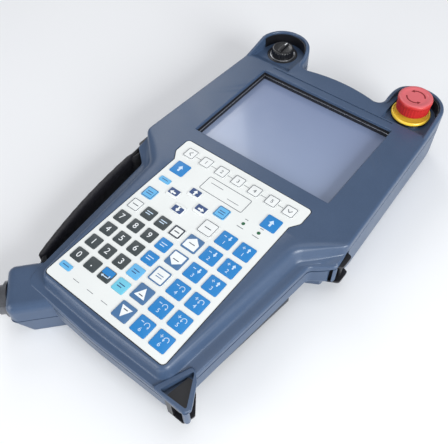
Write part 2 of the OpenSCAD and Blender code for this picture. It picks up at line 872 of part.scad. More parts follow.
module selector_knob() {
    r = knob_d / 2;
    color(black)
        stand()
            translate([knob_at.x, knob_at.y, 0]) {
                difference() {
                    rotate_extrude()
                        polygon([
                            [0, knob_foot], [r, knob_foot], [r, knob_foot + knob_h - 1],
                            [r - 1, knob_foot + knob_h], [0, knob_foot + knob_h]]);
                    for (i = [0:15])
                        rotate(i * 22.5)
                            hole(r + 0.7, 0, 1.4, knob_foot + 1, 20);
                }
                // finger bar across the knob
                translate([-2, -r + 2.5, knob_foot + knob_h - 0.5])
                    cube([4, 2 * r - 5, 1.6]);
                hole(0, 0, shaft_d / 2, bushing_end + 1, knob_foot + 1);
            }
}

module selector_body() {
    color([0.55, 0.56, 0.58])
        stand()
            difference() {
                union() {
                    hole(knob_at.x, knob_at.y, knob_d / 2 + 1.4, -dish_depth, -dish_depth + bezel_t);
                    hole(knob_at.x, knob_at.y, bushing_d / 2, bushing_end - 1, -dish_depth);
                    translate([knob_at.x - 9, knob_at.y - 9, bushing_end - 14])
                        cube([18, 18, 14]);
                }
                hole(knob_at.x, knob_at.y, shaft_d / 2 + run, bushing_end, 0);
            }
}

// ---------------------------------------------------------------- enabling levers
module lever() {
    at_lever()
        difference() {
            intersection() {
                rotate([90, 0, 0])
                    translate([0, 0, -lever_l / 2])
                        linear_extrude(lever_l)
                            union() {
                                circle(r = lever_t / 2 + 0.5);
                                polygon([
                                    [0, lever_t / 2], [lever_w - 2.5, lever_t / 2 - 0.4],
                                    [lever_w, lever_t / 2 - 2], [lever_w, -lever_t / 2 + 0.4],
                                    [lever_w - 1.5, -lever_t / 2 - 1], [lever_w - 5, -lever_t / 2 - 1.2],
                                    [3, -lever_t / 2]]);
                            }
                prism(rounded([
                    [lever_w + 1, lever_l / 2, 7, 6, 1], [lever_w + 1, -lever_l / 2, 7, 6, 1],
                    [-8, -lever_l / 2, 1, 2, 1], [-8, lever_l / 2, 1, 2, 1]]), -20, 20);
            }
            rotate([90, 0, 0])
                translate([0, 0, -lever_l])
                    cylinder(d = pin_d + 2 * run, h = 2 * lever_l);
        }
}

module lever_right() {
    color([0.20, 0.22, 0.26])
        stand()
            lever();
}

module lever_left() {
    color([0.20, 0.22, 0.26])
        stand()
            mirror([1, 0, 0])
                lever();
}

module lever_pins() {
    color([0.75, 0.76, 0.78])
        stand()
            for (s = [0, 1])
                mirror([s, 0, 0])
                    at_lever()
                        rotate([90, 0, 0])
                            translate([0, 0, -lever_l / 2 - 4.6])
                                cylinder(d = pin_d, h = lever_l + 9.2);
}

module lever_switch(extra) {
    for (s = [0, 1])
        mirror([s, 0, 0])
            at_lever()
                translate([5 - extra, -8 - extra, -rim_depth - 1.8 - lever_z])
                    cube([6 + 2 * extra, 16 + 2 * extra, 3]);
}

module lever_switches() {
    color(black)
        stand()
            lever_switch(0);
}

// ---------------------------------------------------------------- strap
pad_from = [-anchor_at.x, -101];
pad_to = [18.9 - face_half_w, -213];
pad_bow = 3;
pad_top = -ledge_depth - 1.5;

module pad_shape() {
    along = unit(pad_to - pad_from);
    out = [along.y, -along.x];
    line = [for (k = [0:12]) mix(pad_from, pad_to, k / 12) + out * pad_bow * 4 * (k / 12) * (1 - k / 12)];
    turn = atan2(along.y, along.x);
    end = [for (k = [0:8]) let (a = turn + 90 - k * 22.5) [cos(a), sin(a)] * pad_t / 2];
    prism(concat(
        [for (p = line) p - out * pad_t / 2],
        [for (k = [1:7]) pad_to + end[k]],
        [for (k = [12:-1:0]) line[k] + out * pad_t / 2],
        [for (k = [1:7]) pad_from - end[k]]), pad_top - pad_h, pad_top);
}

module strap_pad() {
    color(black)
        stand()
            pad_shape();
}

module web(a, b, extra = 0) {
    side = unit([a.y - b.y, b.x - a.x]) * (web_t / 2 + extra);
    prism([a + side, b + side, b - side, a - side],
          anchor_foot + 2 + web_gap - extra, anchor_top - 2 - web_gap + extra);
}

module low_web(extra = 0) {
    web(pad_to + [0.6, 0], [-73.5, -224], extra);
}

// both plies from the post to the pad
module post_webs(extra = 0) {
    post = [-anchor_at.x, anchor_at.y];
    mid = post_r + web_gap + web_t / 2;
    web(post - [mid, 0], pad_from + [-1.2, 0], extra);
    web(post + [mid, 0], pad_from + [1.2, 0], extra);
}

module strap_webbing() {
    post = [-anchor_at.x, anchor_at.y];
    mid = post_r + web_gap + web_t / 2;
    color([0.13, 0.13, 0.15])
        stand()
            difference() {
                union() {
                    difference() {
                        hole(post.x, post.y, mid + web_t / 2,
                             anchor_foot + 2 + web_gap, anchor_top - 2 - web_gap);
                        hole(post.x, post.y, mid - web_t / 2, -60, 0);
                    }
                    post_webs();
                    low_web();
                }
                hole(post.x, post.y, mid - web_t / 2, -60, 0);
                pad_shape();
            }
}

// ---------------------------------------------------------------- cable socket
shell_t = 1.2;

module along_block(from, to, r) {
    translate([from, 0, socket_z])
        rotate([0, 90, 0])
            cylinder(r = r, h = to - from);
}

module cable_socket() {
    color([0.62, 0.63, 0.65])
        stand()
            at_block()
                difference() {
                    union() {
                        along_block(-20, socket_out, socket_d / 2);
                        along_block(0, 2.4, socket_d / 2 + 2.5);
                    }
                    along_block(-21, socket_out + 1, socket_d / 2 - shell_t);
                }
}

module socket_insert() {
    color(black)
        stand()
            at_block()
                along_block(-18, -6, socket_d / 2 - shell_t - run);
}

module socket_contacts() {
    color([0.85, 0.70, 0.30])
        stand()
            at_block()
                translate([-6, 0, socket_z])
                    rotate([0, 90, 0]) {
                        cylinder(r = 0.75, h = 7, $fn = 16);
                        for (i = [0:5])
                            rotate(i * 60)
                                translate([3.2, 0, 0])
                                    cylinder(r = 0.75, h = 7, $fn = 16);
                        for (i = [0:10])
                            rotate(i * 360 / 11)
                                translate([6.6, 0, 0])
                                    cylinder(r = 0.75, h = 7, $fn = 16);
                    }
}

front_case();
rear_case();
case_seal();
case_screws();
display_glass();
window_liner();
display_module();
main_board();
keypad_sheet();
keypad_board();
snap_domes();
keypad_number_keys();
estop_head();
estop_stem();
estop_collar();
estop_contacts();
panel_nuts();
selector_knob();
selector_body();
lever_left();
lever_right();
lever_pins();
lever_switches();
strap_pad();
strap_webbing();
strap_anchors();
cable_socket();
socket_insert();
socket_contacts();
for (i = [0:len(KEYS) - 1])
    key_node(i);
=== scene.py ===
import json
import math

import bmesh
import bpy
import numpy as np
from mathutils import Matrix, Vector

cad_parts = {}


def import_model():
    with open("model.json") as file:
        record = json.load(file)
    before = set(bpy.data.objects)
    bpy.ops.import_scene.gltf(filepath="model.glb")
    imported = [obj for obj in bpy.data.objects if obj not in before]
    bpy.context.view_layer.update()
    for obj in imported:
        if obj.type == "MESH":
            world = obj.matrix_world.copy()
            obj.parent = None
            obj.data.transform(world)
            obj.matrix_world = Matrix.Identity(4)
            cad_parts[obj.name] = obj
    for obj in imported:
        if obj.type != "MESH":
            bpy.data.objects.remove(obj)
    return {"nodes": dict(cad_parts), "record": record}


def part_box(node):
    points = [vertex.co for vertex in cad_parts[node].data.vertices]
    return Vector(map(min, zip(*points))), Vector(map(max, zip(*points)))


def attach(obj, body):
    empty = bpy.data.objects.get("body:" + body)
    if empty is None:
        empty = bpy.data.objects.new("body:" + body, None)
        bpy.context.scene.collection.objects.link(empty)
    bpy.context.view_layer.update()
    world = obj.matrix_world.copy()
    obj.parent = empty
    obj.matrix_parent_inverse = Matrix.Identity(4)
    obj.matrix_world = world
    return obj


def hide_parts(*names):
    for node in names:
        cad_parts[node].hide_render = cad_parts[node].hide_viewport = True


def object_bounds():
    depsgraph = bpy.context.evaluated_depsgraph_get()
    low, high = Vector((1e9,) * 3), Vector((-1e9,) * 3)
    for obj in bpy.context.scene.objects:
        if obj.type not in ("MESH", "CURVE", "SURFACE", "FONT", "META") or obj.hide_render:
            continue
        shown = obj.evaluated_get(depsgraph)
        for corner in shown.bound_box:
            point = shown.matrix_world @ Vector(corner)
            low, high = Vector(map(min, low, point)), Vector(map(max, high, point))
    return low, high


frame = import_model()
cad_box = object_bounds()
scene = bpy.context.scene

# -------------------- sizes
# Millimetres from the middle of the display window, on the front face: x to the right,
# y towards the ears, z out of the face.
GLASS_DEPTH = 8.8
WINDOW_W, WINDOW_H = 134, 101
SEAM, SEAM_LOW = 9.0, 18.0          # depth of the joint beside the display and beside the keypad
LEDGE_DEPTH = 11.2                  # depth of the ledge round the keypad
FACE_HALF_W, EAR_HALF_W, FOOT_Y = 100.4, 95.4, -231.5
EAR_X, EAR_Y, EAR_R = 68.5, 83.0, 25.0
GUARD = 8.0                         # height of the guards round the ears
DISH_Z = -4.0                       # floor of the ears
KNOB = (-70.5, 85.0)
ANCHOR, LOW_ANCHOR = (99.6, -79.0), (79.5, -230.0)
BLOCK_TURN, BLOCK_END = 228, (-78.0, -250.1)
PAD_FROM, PAD_TO = np.array([-99.6, -101.0]), np.array([-81.5, -213.0])
STRAP_LOW, STRAP_HIGH, WEB_T = -33.7, -15.5, 2.1
KEY_TOP, FILM_TOP = 0.25, -0.3
PRINT_T = 0.04

glass_low, glass_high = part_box("display_glass")
ORIGIN = np.array([(glass_low.x + glass_high.x) / 2, (glass_low.y + glass_high.y) / 2,
                   glass_high.z + GLASS_DEPTH / 1000])


def world(points):
    """Metres in the frame, from millimetres on the face."""
    return ORIGIN + np.asarray(points, float) / 1000


def at_box(node):
    """Middle and size of a node's box, in millimetres on the face."""
    low, high = ((np.array(corner) - ORIGIN) * 1000 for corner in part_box(node))
    return (low + high) / 2, high - low


# -------------------- camera
def aim():
    """The camera stands at the foot's right and looks down at the pendant."""
    data = bpy.data.cameras.new("camera")
    sensor, focal, width = 36, 551.8, 448    # focal length and width of the view share a unit
    data.lens, data.sensor_width, data.sensor_fit = sensor * focal / width, sensor, "HORIZONTAL"
    data.clip_start, data.clip_end = 0.01, 20
    camera = bpy.data.objects.new("camera", data)
    right = Vector((0.78034, 0.62516, -0.01561))
    up = Vector((-0.49173, 0.62883, 0.60231))
    ahead = Vector((-0.38636, 0.46233, -0.79811))
    turn = Matrix((right, up, -ahead)).transposed().to_4x4()
    camera.matrix_world = Matrix.Translation(Vector(world([175.3, -305.3, 330.4]))) @ turn
    scene.collection.objects.link(camera)
    scene.camera = camera


aim()


# -------------------- shader nodes
class Wire:
    """A value in a material; working with it in Python adds the Math nodes."""

    def __init__(self, net, socket):
        self.net, self.socket = net, socket

    def math(self, operation, first, second):
        return self.net.node("ShaderNodeMath", {"operation": operation}, {0: first, 1: second})

    def __add__(self, other): return self.math("ADD", self, other)
    def __radd__(self, other): return self.math("ADD", other, self)
    def __sub__(self, other): return self.math("SUBTRACT", self, other)
    def __rsub__(self, other): return self.math("SUBTRACT", other, self)
    def __mul__(self, other): return self.math("MULTIPLY", self, other)
    def __rmul__(self, other): return self.math("MULTIPLY", other, self)
    def __truediv__(self, other): return self.math("DIVIDE", self, other)
    def __rtruediv__(self, other): return self.math("DIVIDE", other, self)

    def fold(self, period):
        """Rises and falls between 0 and 1, once for every two periods."""
        return self.math("PINGPONG", self, period) / period

    def span(self, start, end, low=0.0, high=1.0):
        """Runs from low to high while this value runs from start to end."""
        return self.net.node("ShaderNodeMapRange", {}, {
            "Value": self, "From Min": start, "From Max": end, "To Min": low, "To Max": high})


class Net:
    """The node tree of one material."""

    def __init__(self, name):
        self.material = bpy.data.materials.new(name)
        self.material.use_nodes = True
        self.tree = self.material.node_tree
        self.shader = self.tree.nodes["Principled BSDF"]
        self.place = self.node("ShaderNodeTexCoord", {}, {}, "Object")

    def node(self, kind, settings, sockets, output=0):
        """A new node: its settings first, then the values or links of its sockets."""
        node = self.tree.nodes.new(kind)
        for name, value in settings.items():
            setattr(node, name, value)
        for key, value in sockets.items():
            self.feed(node.inputs[key], value)
        return Wire(self, node.outputs[output])

    def feed(self, socket, value):
        if isinstance(value, Wire):
            self.tree.links.new(value.socket, socket)
        else:
            socket.default_value = value

    def axes(self):
        """The three coordinates on the piece, in millimetres."""
        return self.parts(self.node("ShaderNodeVectorMath", {"operation": "SCALE"},
                                    {0: self.place, "Scale": 1000.0}))

    def parts(self, vector):
        split = self.node("ShaderNodeSeparateXYZ", {}, {"Vector": vector}).socket.node
        return [Wire(self, output) for output in split.outputs]

    def noise(self, scale, detail=3.0, rough=0.5):
        return self.node("ShaderNodeTexNoise", {}, {
            "Vector": self.place, "Scale": scale, "Detail": detail, "Roughness": rough})

    def cells(self, scale):
        return self.node("ShaderNodeTexVoronoi", {}, {"Vector": self.place, "Scale": scale}, "Distance")

    def mix(self, factor, first, second):
        """Blends two colours."""
        return self.node("ShaderNodeMix", {"data_type": "RGBA"}, {0: factor, 6: first, 7: second}, 2)

    def bump(self, height, strength, distance):
        return self.node("ShaderNodeBump", {}, {
            "Height": height, "Strength": strength, "Distance": distance})

    def done(self, **values):
        """Feeds the shader's own sockets and gives the finished material."""
        for name, value in values.items():
            self.feed(self.shader.inputs[name.replace("_", " ")], value)
        return self.material


def linear(value):
    """Linear light for a screen value between 0 and 255."""
    share = value / 255
    return share / 12.92 if share < 0.0404 else ((share + 0.055) / 1.055) ** 2.4


def rgb(red, green, blue):
    return linear(red), linear(green), linear(blue), 1.0


def tone(colour, k):
    """The colour made darker or lighter."""
    return tuple(min(1.0, c * k) for c in colour[:3]) + (1.0,)


def plastic(name, colour, rough=0.45, grain=2200.0, depth=0.25, drift=0.10, coat=0.0, lit_top=None):
    """Moulded plastic: fine spark texture, slow drift of colour and gloss, and, where a lit-top colour is
    given, a painted highlight that pales the faces that look up.
    """
    net = Net(name)
    slow, fine, cells = net.noise(28.0, 4.0, 0.6), net.noise(grain, 2.0, 0.55), net.cells(grain * 0.55)
    base = net.mix(slow.span(0.3, 0.7), tone(colour, 1 - drift), tone(colour, 1 + drift))
    base = net.mix(cells.span(0.1, 0.7, 0.0, 0.35), base, tone(colour, 1.25))
    if lit_top:
        # painted highlight: faces that look up blend towards the paler colour, standing for the light's
        # sheen on the top
        up = net.parts(net.node("ShaderNodeNewGeometry", {}, {}, "Normal"))[2]
        base = net.mix(up.span(0.55, 0.95) * slow.span(0.2, 0.7, 0.75, 1.0), base, lit_top)
    gloss = slow.span(0.25, 0.75, rough - 0.05, rough + 0.07) + fine.span(0.3, 0.7, -0.02, 0.02)
    return net.done(Base_Color=base, Roughness=gloss, Coat_Weight=coat,
                    Normal=net.bump(fine * 0.6 + cells * 0.4, depth, 0.00006))


def metal(name, colour, rough=0.3):
    """Brushed or plated metal with slow stains."""
    net = Net(name)
    brushed, slow = net.noise(900.0, 3.0, 0.6), net.noise(60.0)
    return net.done(Base_Color=net.mix(slow.span(0.3, 0.7), tone(colour, 0.85), colour), Metallic=1.0,
                    Roughness=brushed.span(0.3, 0.7, rough - 0.08, rough + 0.1),
                    Normal=net.bump(brushed, 0.15, 0.00005))


def woven(name, colour):
    """Webbing: ribs across the strap, warp threads along it and fuzz."""
    net = Net(name)
    x, y, z = net.axes()
    cloth = (y + x * 0.2).fold(0.45) * 0.6 + z.fold(0.6) * 0.4
    fuzz = net.noise(1800.0, 2.0)
    return net.done(Base_Color=net.mix(cloth * 0.7 + fuzz * 0.3, tone(colour, 0.6), tone(colour, 1.9)),
                    Roughness=fuzz.span(0.3, 0.7, 0.75, 0.95), Sheen_Weight=0.3,
                    Normal=net.bump(cloth, 0.5, 0.0003))


def leather(name, colour):
    """Coated strap material: small pebbled cells, softer gloss on the crowns."""
    net = Net(name)
    cells, creases = net.cells(900.0), net.noise(160.0, 4.0, 0.6)
    return net.done(Base_Color=net.mix(cells.span(0.0, 0.6), tone(colour, 1.5), tone(colour, 0.7)),
                    Roughness=creases.span(0.3, 0.7, 0.42, 0.62),
                    Normal=net.bump(cells * -0.7 + creases * 0.5, 0.4, 0.0002))


def film(name, colour, rough=0.38):
    """Printed polyester: a very fine matt grain and a slight drift of tone."""
    net = Net(name)
    slow, fine = net.noise(22.0), net.noise(3200.0, 1.0)
    return net.done(Base_Color=net.mix(slow.span(0.3, 0.75), colour, tone(colour, 0.94)),
                    Roughness=fine.span(0.3, 0.7, rough - 0.05, rough + 0.08),
                    Normal=net.bump(fine, 0.08, 0.00004))


def screen_glass(name):
    """A pale, unlit display behind touch glass: fine dots, smudges, and a painted reflection that runs from
    a lighter foot to a darker top.
    """
    net = Net(name)
    x, y, _ = net.axes()
    # painted reflection: the colour lightens towards the foot of the display, standing for light on the
    # glass
    shade = (y - ORIGIN[1] * 1000).span(-50.0, 50.0)
    dots = x.fold(0.15) * y.fold(0.15)
    smudge = net.noise(45.0, 5.0, 0.65)
    base = net.mix(shade, rgb(150, 163, 190), rgb(128, 141, 172))
    base = net.mix(dots * 0.12, base, rgb(96, 108, 136))
    return net.done(Base_Color=base, Roughness=smudge.span(0.35, 0.7, 0.16, 0.28),
                    Coat_Weight=0.6, Coat_Roughness=0.08)


# the paler red is a painted highlight for the e-stop head's top
STOP_LIT_TOP = rgb(216, 106, 112)
MAT = {
    "housing": plastic("slate_plastic", rgb(62, 80, 106), 0.34, 1900.0, 0.2, 0.07),
    "gasket": plastic("seal_rubber", rgb(22, 22, 26), 0.6),
    "screws": metal("zinc_steel", (0.55, 0.56, 0.58, 1)),
    "screen": screen_glass("display_surface"),
    "black_trim": plastic("black_plastic", rgb(24, 24, 28), 0.38, 2400.0, 0.2),
    "module": metal("pressed_frame", (0.60, 0.61, 0.62, 1)),
    "board": plastic("circuit_board", rgb(28, 96, 60), 0.35),
    "keypad_film": film("keypad_film", rgb(233, 235, 232)),
    "domes": metal("dome_steel", (0.62, 0.62, 0.60, 1)),
    "dark_keys": film("charcoal_print", rgb(58, 66, 68)),
    "blue_keys": film("blue_print", rgb(26, 126, 195)),
    "navy_keys": film("navy_print", rgb(40, 70, 120)),
    "slate_keys": film("slate_print", rgb(70, 112, 156)),
    "white_keys": film("white_print", rgb(236, 238, 236)),
    "stop_red": plastic("stop_red_plastic", rgb(186, 36, 34), 0.4, 2600.0, 0.12, 0.05, 0.1, STOP_LIT_TOP),
    "stop_dark": plastic("stop_arrow_plastic", rgb(120, 14, 18), 0.5, 2600.0, 0.1),
    "stop_yellow": plastic("stop_yellow_plastic", rgb(246, 202, 66), 0.33, 2600.0, 0.1, 0.05, 0.2),
    "contact_block": plastic("contact_plastic", rgb(150, 40, 40), 0.5),
    "knob": plastic("knob_plastic", rgb(20, 20, 23), 0.3, 2400.0, 0.15, 0.1, 0.2),
    "lever": plastic("lever_plastic", rgb(46, 50, 58), 0.5, 1500.0, 0.35),
    "strap_pad": leather("strap_leather", rgb(40, 38, 43)),
    "webbing": woven("strap_webbing", rgb(30, 30, 34)),
    "shell_metal": metal("plated_shell", (0.20, 0.205, 0.22, 1), 0.34),
    "contacts": metal("contact_gold", (0.80, 0.60, 0.25, 1), 0.22),
    "ink": film("dark_ink", rgb(52, 60, 72)),
    "pale_ink": film("pale_ink", rgb(205, 226, 246)),
    "sky": film("sky_print", rgb(98, 178, 226)),
    "teal": film("teal_print", rgb(110, 196, 220)),
    "white_ink": film("white_ink", rgb(240, 243, 244)),
}


# -------------------- outlines
def unit(v):
    return v / np.linalg.norm(v)


def unit_rows(v):
    return v / np.maximum(np.linalg.norm(v, axis=1), 1e-9)[:, None]


def ramp(x, start, end):
    """A smooth step from 0 to 1."""
    t = np.clip((x - start) / (end - start), 0, 1)
    return t * t * (3 - 2 * t)


def arc(radius, start, end, count):
    """Points on a round stretch about the origin, between two angles in degrees."""
    turn = np.radians(np.linspace(start, end, count))
    return radius * np.column_stack([np.cos(turn), np.sin(turn)])


def signed_power(v, power):
    """A circle's coordinate pressed towards a square's."""
    return np.sign(v) * np.abs(v) ** power


def corner(before, at, after, radius, steps):
    """The arc that rounds a corner."""
    u, v = unit(before - at), unit(after - at)
    half = math.acos(np.clip(u @ v, -1, 1)) / 2
    centre = at + unit(u + v) * radius / math.sin(half)
    first, last = at + u * radius / math.tan(half) - centre, at + v * radius / math.tan(half) - centre
    start = math.atan2(first[1], first[0])
    sweep = (math.atan2(last[1], last[0]) - start + math.pi) % (2 * math.pi) - math.pi
    turn = start + sweep * np.arange(steps + 1) / steps
    return centre + radius * np.column_stack([np.cos(turn), np.sin(turn)])


def rounded(path, fine=1):
    """A closed outline from corners [x, y, radius, arc steps, steps of the straight that follows]."""
    count, at = len(path), [np.array(p[:2], float) for p in path]
    arcs = [corner(at[i - 1], at[i], at[(i + 1) % count], path[i][2], path[i][3] * fine)
            for i in range(count)]
    points = []
    for i, bend in enumerate(arcs):
        points.extend(bend)
        steps = path[i][4] * fine if path[i][4] > 1 else 1
        for k in range(1, steps):
            points.append(bend[-1] + (arcs[(i + 1) % count][0] - bend[-1]) * k / steps)
    return np.array(points)


def mirrored(side):
    """The whole outline, from its right half."""
    return side + [[-side[i][0], side[i][1], side[i][2], side[i][3], side[i - 1][4]]
                   for i in range(len(side) - 2, 0, -1)]


def grown(outline, amount):
    """The outline moved out, by one amount or by one for each point."""
    along = unit_rows(np.roll(outline, -1, 0) - np.roll(outline, 1, 0))
    return outline + np.column_stack([-along[:, 1], along[:, 0]]) * np.reshape(amount, (-1, 1))


def shrunk(outline, by):
    """The outline drawn in by its own edges, for shapes with sharp corners."""
    before = unit_rows(outline - np.roll(outline, 1, 0))
    after = unit_rows(np.roll(outline, -1, 0) - outline)
    left, right = (np.column_stack([-edge[:, 1], edge[:, 0]]) for edge in (before, after))
    mid = unit_rows(left + right)
    return outline - mid * (by / np.clip((mid * left).sum(1), 0.5, 1))[:, None]


def rectangle(w, h, radius, steps=5):
    return rounded([[w / 2, h / 2, radius, steps, 1], [w / 2, -h / 2, radius, steps, 1],
                    [-w / 2, -h / 2, radius, steps, 1], [-w / 2, h / 2, radius, steps, 1]])


# Each level of the housing: shoulder, waist and low corner with their radii, and the foot's place.
FACE = ([FACE_HALF_W, -76, 9], [FACE_HALF_W - 27.4, -102, 14], [60, FOOT_Y + 1.5, 8], FOOT_Y)
LEDGE = ([FACE_HALF_W + 0.4, -88.5, 5], [FACE_HALF_W - 16, -101, 8], [70.5, FOOT_Y - 6, 9], FOOT_Y - 8)


def housing(level, fine=3):
    """Plan of the front shell, from the arch between the ears to the foot."""
    shoulder, waist, low, foot = level
    ear_top, ear_in, ear_out = EAR_Y + EAR_R, EAR_X - EAR_R, EAR_X + EAR_R
    return rounded(mirrored([
        [0, EAR_Y + 1, 138, 8, 1], [ear_in - 0.1, EAR_Y - 9.4, 7.2, 5, 1],
        [ear_in, ear_top, EAR_R - 0.1, 9, 1], [ear_out, ear_top, EAR_R - 0.1, 9, 1],
        [EAR_HALF_W, EAR_Y - EAR_R, 120, 3, 6],
        shoulder + [5, 3], waist + [5, 7], low + [6, 4], [0, foot, 300, 4, 4]]), fine)


def guard(outline):
    """Height of the guards over the face at each point of the plan."""
    x, y = np.abs(outline[:, 0]), outline[:, 1]
    share = np.clip((x - (EAR_X - EAR_R)) / (2 * EAR_R), 0, 1)
    inner, outer = ramp(y, 76, 100), ramp(y, 67, 79)
    return GUARD * (inner + (outer - inner) * share) * ramp(x, 38, 45)


def rim_ring(level, height, out, guard_share, low_height, low_out):
    """One ring of the front shell: the display's section turns into the keypad's at the shoulders."""
    base = housing(level)
    low = ramp(-base[:, 1], 70, 98)
    tight = 1 - 0.5 * ramp(-base[:, 1], 100, 215)
    plan = grown(base, out + (low_out * tight - out) * low)
    return np.column_stack([plan, height + (low_height - height) * low + guard_share * guard(base)])


def smoothed(rings, steps):
    """More rings between the given ones, on a curve that doesn't overshoot."""
    rings = np.array(rings)
    rise = np.diff(rings, axis=0)
    slope = np.zeros_like(rings)
    a, b = rise[:-1], rise[1:]
    with np.errstate(divide="ignore", invalid="ignore"):
        slope[1:-1] = np.where(a * b > 0, 2 * a * b / (a + b), 0)
    slope[0], slope[-1] = rise[0], rise[-1]
    out = []
    for k in range(len(rise)):
        for t in np.arange(steps) / steps:
            out.append((2 * t**3 - 3 * t**2 + 1) * rings[k] + (t**3 - 2 * t**2 + t) * slope[k]
                       + (3 * t**2 - 2 * t**3) * rings[k + 1] + (t**3 - t**2) * slope[k + 1])
    return out + [rings[-1]]


# -------------------- mesh tools
def placed(name, part):
    """An object in the scene from a part, which is its points and faces."""
    points, faces = part
    mesh = bpy.data.meshes.new(name)
    mesh.from_pydata(world(points).tolist(), [], faces)
    obj = bpy.data.objects.new(name, mesh)
    scene.collection.objects.link(obj)
    return obj


def cleaned(obj):
    """Merges doubled points, splits large faces and turns all faces outward."""
    mesh = bmesh.new()
    mesh.from_mesh(obj.data)
    bmesh.ops.remove_doubles(mesh, verts=mesh.verts, dist=0.00002)
    bmesh.ops.dissolve_degenerate(mesh, dist=0.000005, edges=mesh.edges)
    bmesh.ops.triangulate(mesh, faces=[f for f in mesh.faces if len(f.verts) > 4])
    bmesh.ops.recalc_face_normals(mesh, faces=mesh.faces)
    mesh.to_mesh(obj.data)
    mesh.free()
    return obj


def shade(mesh, angle):
    """Smooth faces, with sharp edges past the angle; flat faces where it is 0."""
    mesh.polygons.foreach_set("use_smooth", [angle > 0] * len(mesh.polygons))
    if angle > 0:
        mesh.set_sharp_from_angle(angle=math.radians(angle))


def even_normals(obj):
    step = obj.modifiers.new("even", "WEIGHTED_NORMAL")
    step.keep_sharp, step.weight, step.mode = True, 90, "FACE_AREA"


def piece(name, part, material, body="root", smooth=38):
    """A visible piece that rides on a body."""
    obj = placed(name, part)
    obj.data.materials.append(MAT[material])
    shade(obj.data, smooth)
    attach(obj, body)
    return cleaned(obj)


def loft(rings, cap_start=True, cap_end=True, closed=True):
    """Skins rings that have the same number of points."""
    count = len(rings[0])
    faces = []
    for k in range(len(rings) - 1):
        for i in range(count if closed else count - 1):
            j = (i + 1) % count
            a, b = k * count, (k + 1) * count
            faces.append((a + i, b + i, b + j, a + j))
    if cap_start:
        faces.append(tuple(range(count)))
    if cap_end:
        faces.append(tuple(range((len(rings) - 1) * count, len(rings) * count))[::-1])
    return np.vstack(rings), faces


def tube(rings):
    """A closed skin whose last ring meets its first."""
    return loft(rings + rings[:1], False, False)


def flat(outline, z):
    return np.column_stack([outline, np.full(len(outline), float(z))])


def prism(outline, low, high, top=0.0, foot=0.0, steps=4):
    """An upright solid on an outline, with rounded upper and lower edges."""
    rings = []
    for radius, z, way in ((top, high, -1), (foot, low, 1)):
        bend = [(radius * (1 - math.sin(t)), z + way * radius * (1 - math.cos(t)))
                for t in np.linspace(0, math.pi / 2, steps + 1)] if radius else [(0, z)]
        rings += [flat(grown(outline, -inset), level) for inset, level in bend[::-way]]
    return loft(rings)


def lathe(profile, at, steps, ribs=None, hollow=False):
    """Turns [radius, height] pairs round an upright axis; ribs gives the change of radius."""
    turn = np.linspace(0, 2 * math.pi, steps, endpoint=False)
    circle = np.column_stack([np.cos(turn), np.sin(turn if hollow else -turn)])
    rings = []
    for radius, z in profile:
        change = ribs(turn, z) if ribs else np.zeros(steps)
        rings.append(flat(circle * (radius + change)[:, None] + at, z))
    return tube(rings) if hollow else loft(rings)


def pit(outline, floor, lip=0.35, fillet=0.3, up=30):
    """A tool that cuts a pocket with a softened rim out of the flat face."""
    rings = [flat(grown(outline, lip), up)]
    rings += [flat(grown(outline, lip * (1 - math.sin(t))), -lip * (1 - math.cos(t)))
              for t in np.linspace(0, math.pi / 2, 5)]
    return loft(rings + [flat(outline, floor + fillet), flat(grown(outline, -fillet), floor)])


def across(section, low, high):
    """A section of [y, z] pairs pushed along x."""
    return loft([np.array([[x, y, z] for y, z in section]) for x in (low, high)])


def joined(*parts):
    points, faces, start = [], [], 0
    for part_points, part_faces in parts:
        points.append(part_points)
        faces += [tuple(i + start for i in face) for face in part_faces]
        start += len(part_points)
    return np.vstack(points), faces


def spun(plan, degrees):
    """Plan points turned about the origin."""
    c, s = math.cos(math.radians(degrees)), math.sin(math.radians(degrees))
    return plan @ np.array([[c, s], [-s, c]])


def turned(part, degrees, at):
    points, faces = part
    return np.column_stack([spun(points[:, :2], degrees) + at, points[:, 2]]), faces


def moved(part, at):
    points, faces = part
    return points + [at[0], at[1], 0], faces


def flipped(part):
    """The part's twin on the other side."""
    points, faces = part
    return points * np.array([-1, 1, 1]), [face[::-1] for face in faces]


def combine(obj, tool, operation="DIFFERENCE"):
    """One boolean step whose result is kept in the mesh; the tool is used up."""
    step = obj.modifiers.new("join", "BOOLEAN")
    step.object, step.operation, step.solver = tool, operation, "EXACT"
    view = bpy.context.evaluated_depsgraph_get()
    mesh = bpy.data.meshes.new_from_object(obj.evaluated_get(view))
    obj.modifiers.clear()
    obj.data = mesh
    used = tool.data
    bpy.data.objects.remove(tool)
    bpy.data.meshes.remove(used)


def cutter(part):
    return cleaned(placed("tool", part))


# -------------------- housing
# The front shell's section from its rim inward, up, over the edge and down again. Beside the display:
# height, outset and share of the guard. Beside the keypad: height and outset.
RIM = [(0, -4.3, 0, 0, -9), (0, -3.85, 0.06, -0.03, -8), (0, -3.7, 0.85, -0.12, -6.6),
       (0, -3.2, 0.98, -0.34, -5.3), (0, -2.3, 1, -0.7, -4.1), (-0.25, -1.3, 1, -1.25, -2.9),
       (-1.0, -0.45, 1, -2.1, -1.7), (-2.0, -0.1, 1, -3.4, -0.7), (-3.2, 0, 1, -5, 0.05),
       (-5.2, 0, 0.5, -7.4, 1.1), (-6.8, 0, 0.1, -9.2, 2.1), (-7.8, 0, 0, -10.4, 3.2),
       (-8.4, 0, 0, -LEDGE_DEPTH, 5.4)]
SKIRT = [(-9.4, 0, 0, -LEDGE_DEPTH - 0.3, -2.6), (-10.4, 0, 0, -LEDGE_DEPTH - 0.9, -1),
         (-11.6, 0, 0, -LEDGE_DEPTH - 2.2, 0), (-25, 0, 0, -25, 0)]
JOINT_GAP = 0.85
ANCHOR_FIT = 0.2
EAR_WALL = 3.95


def below_joint(reach=-60, width=150):
    """Everything below the joint between the shells, which drops at the shoulders."""
    top, low = -SEAM + JOINT_GAP, -SEAM_LOW + JOINT_GAP
    section = [[150, top], [-70, top], [-96, low], [-300, low], [-300, reach], [150, reach]]
    return across(section, -width, width)


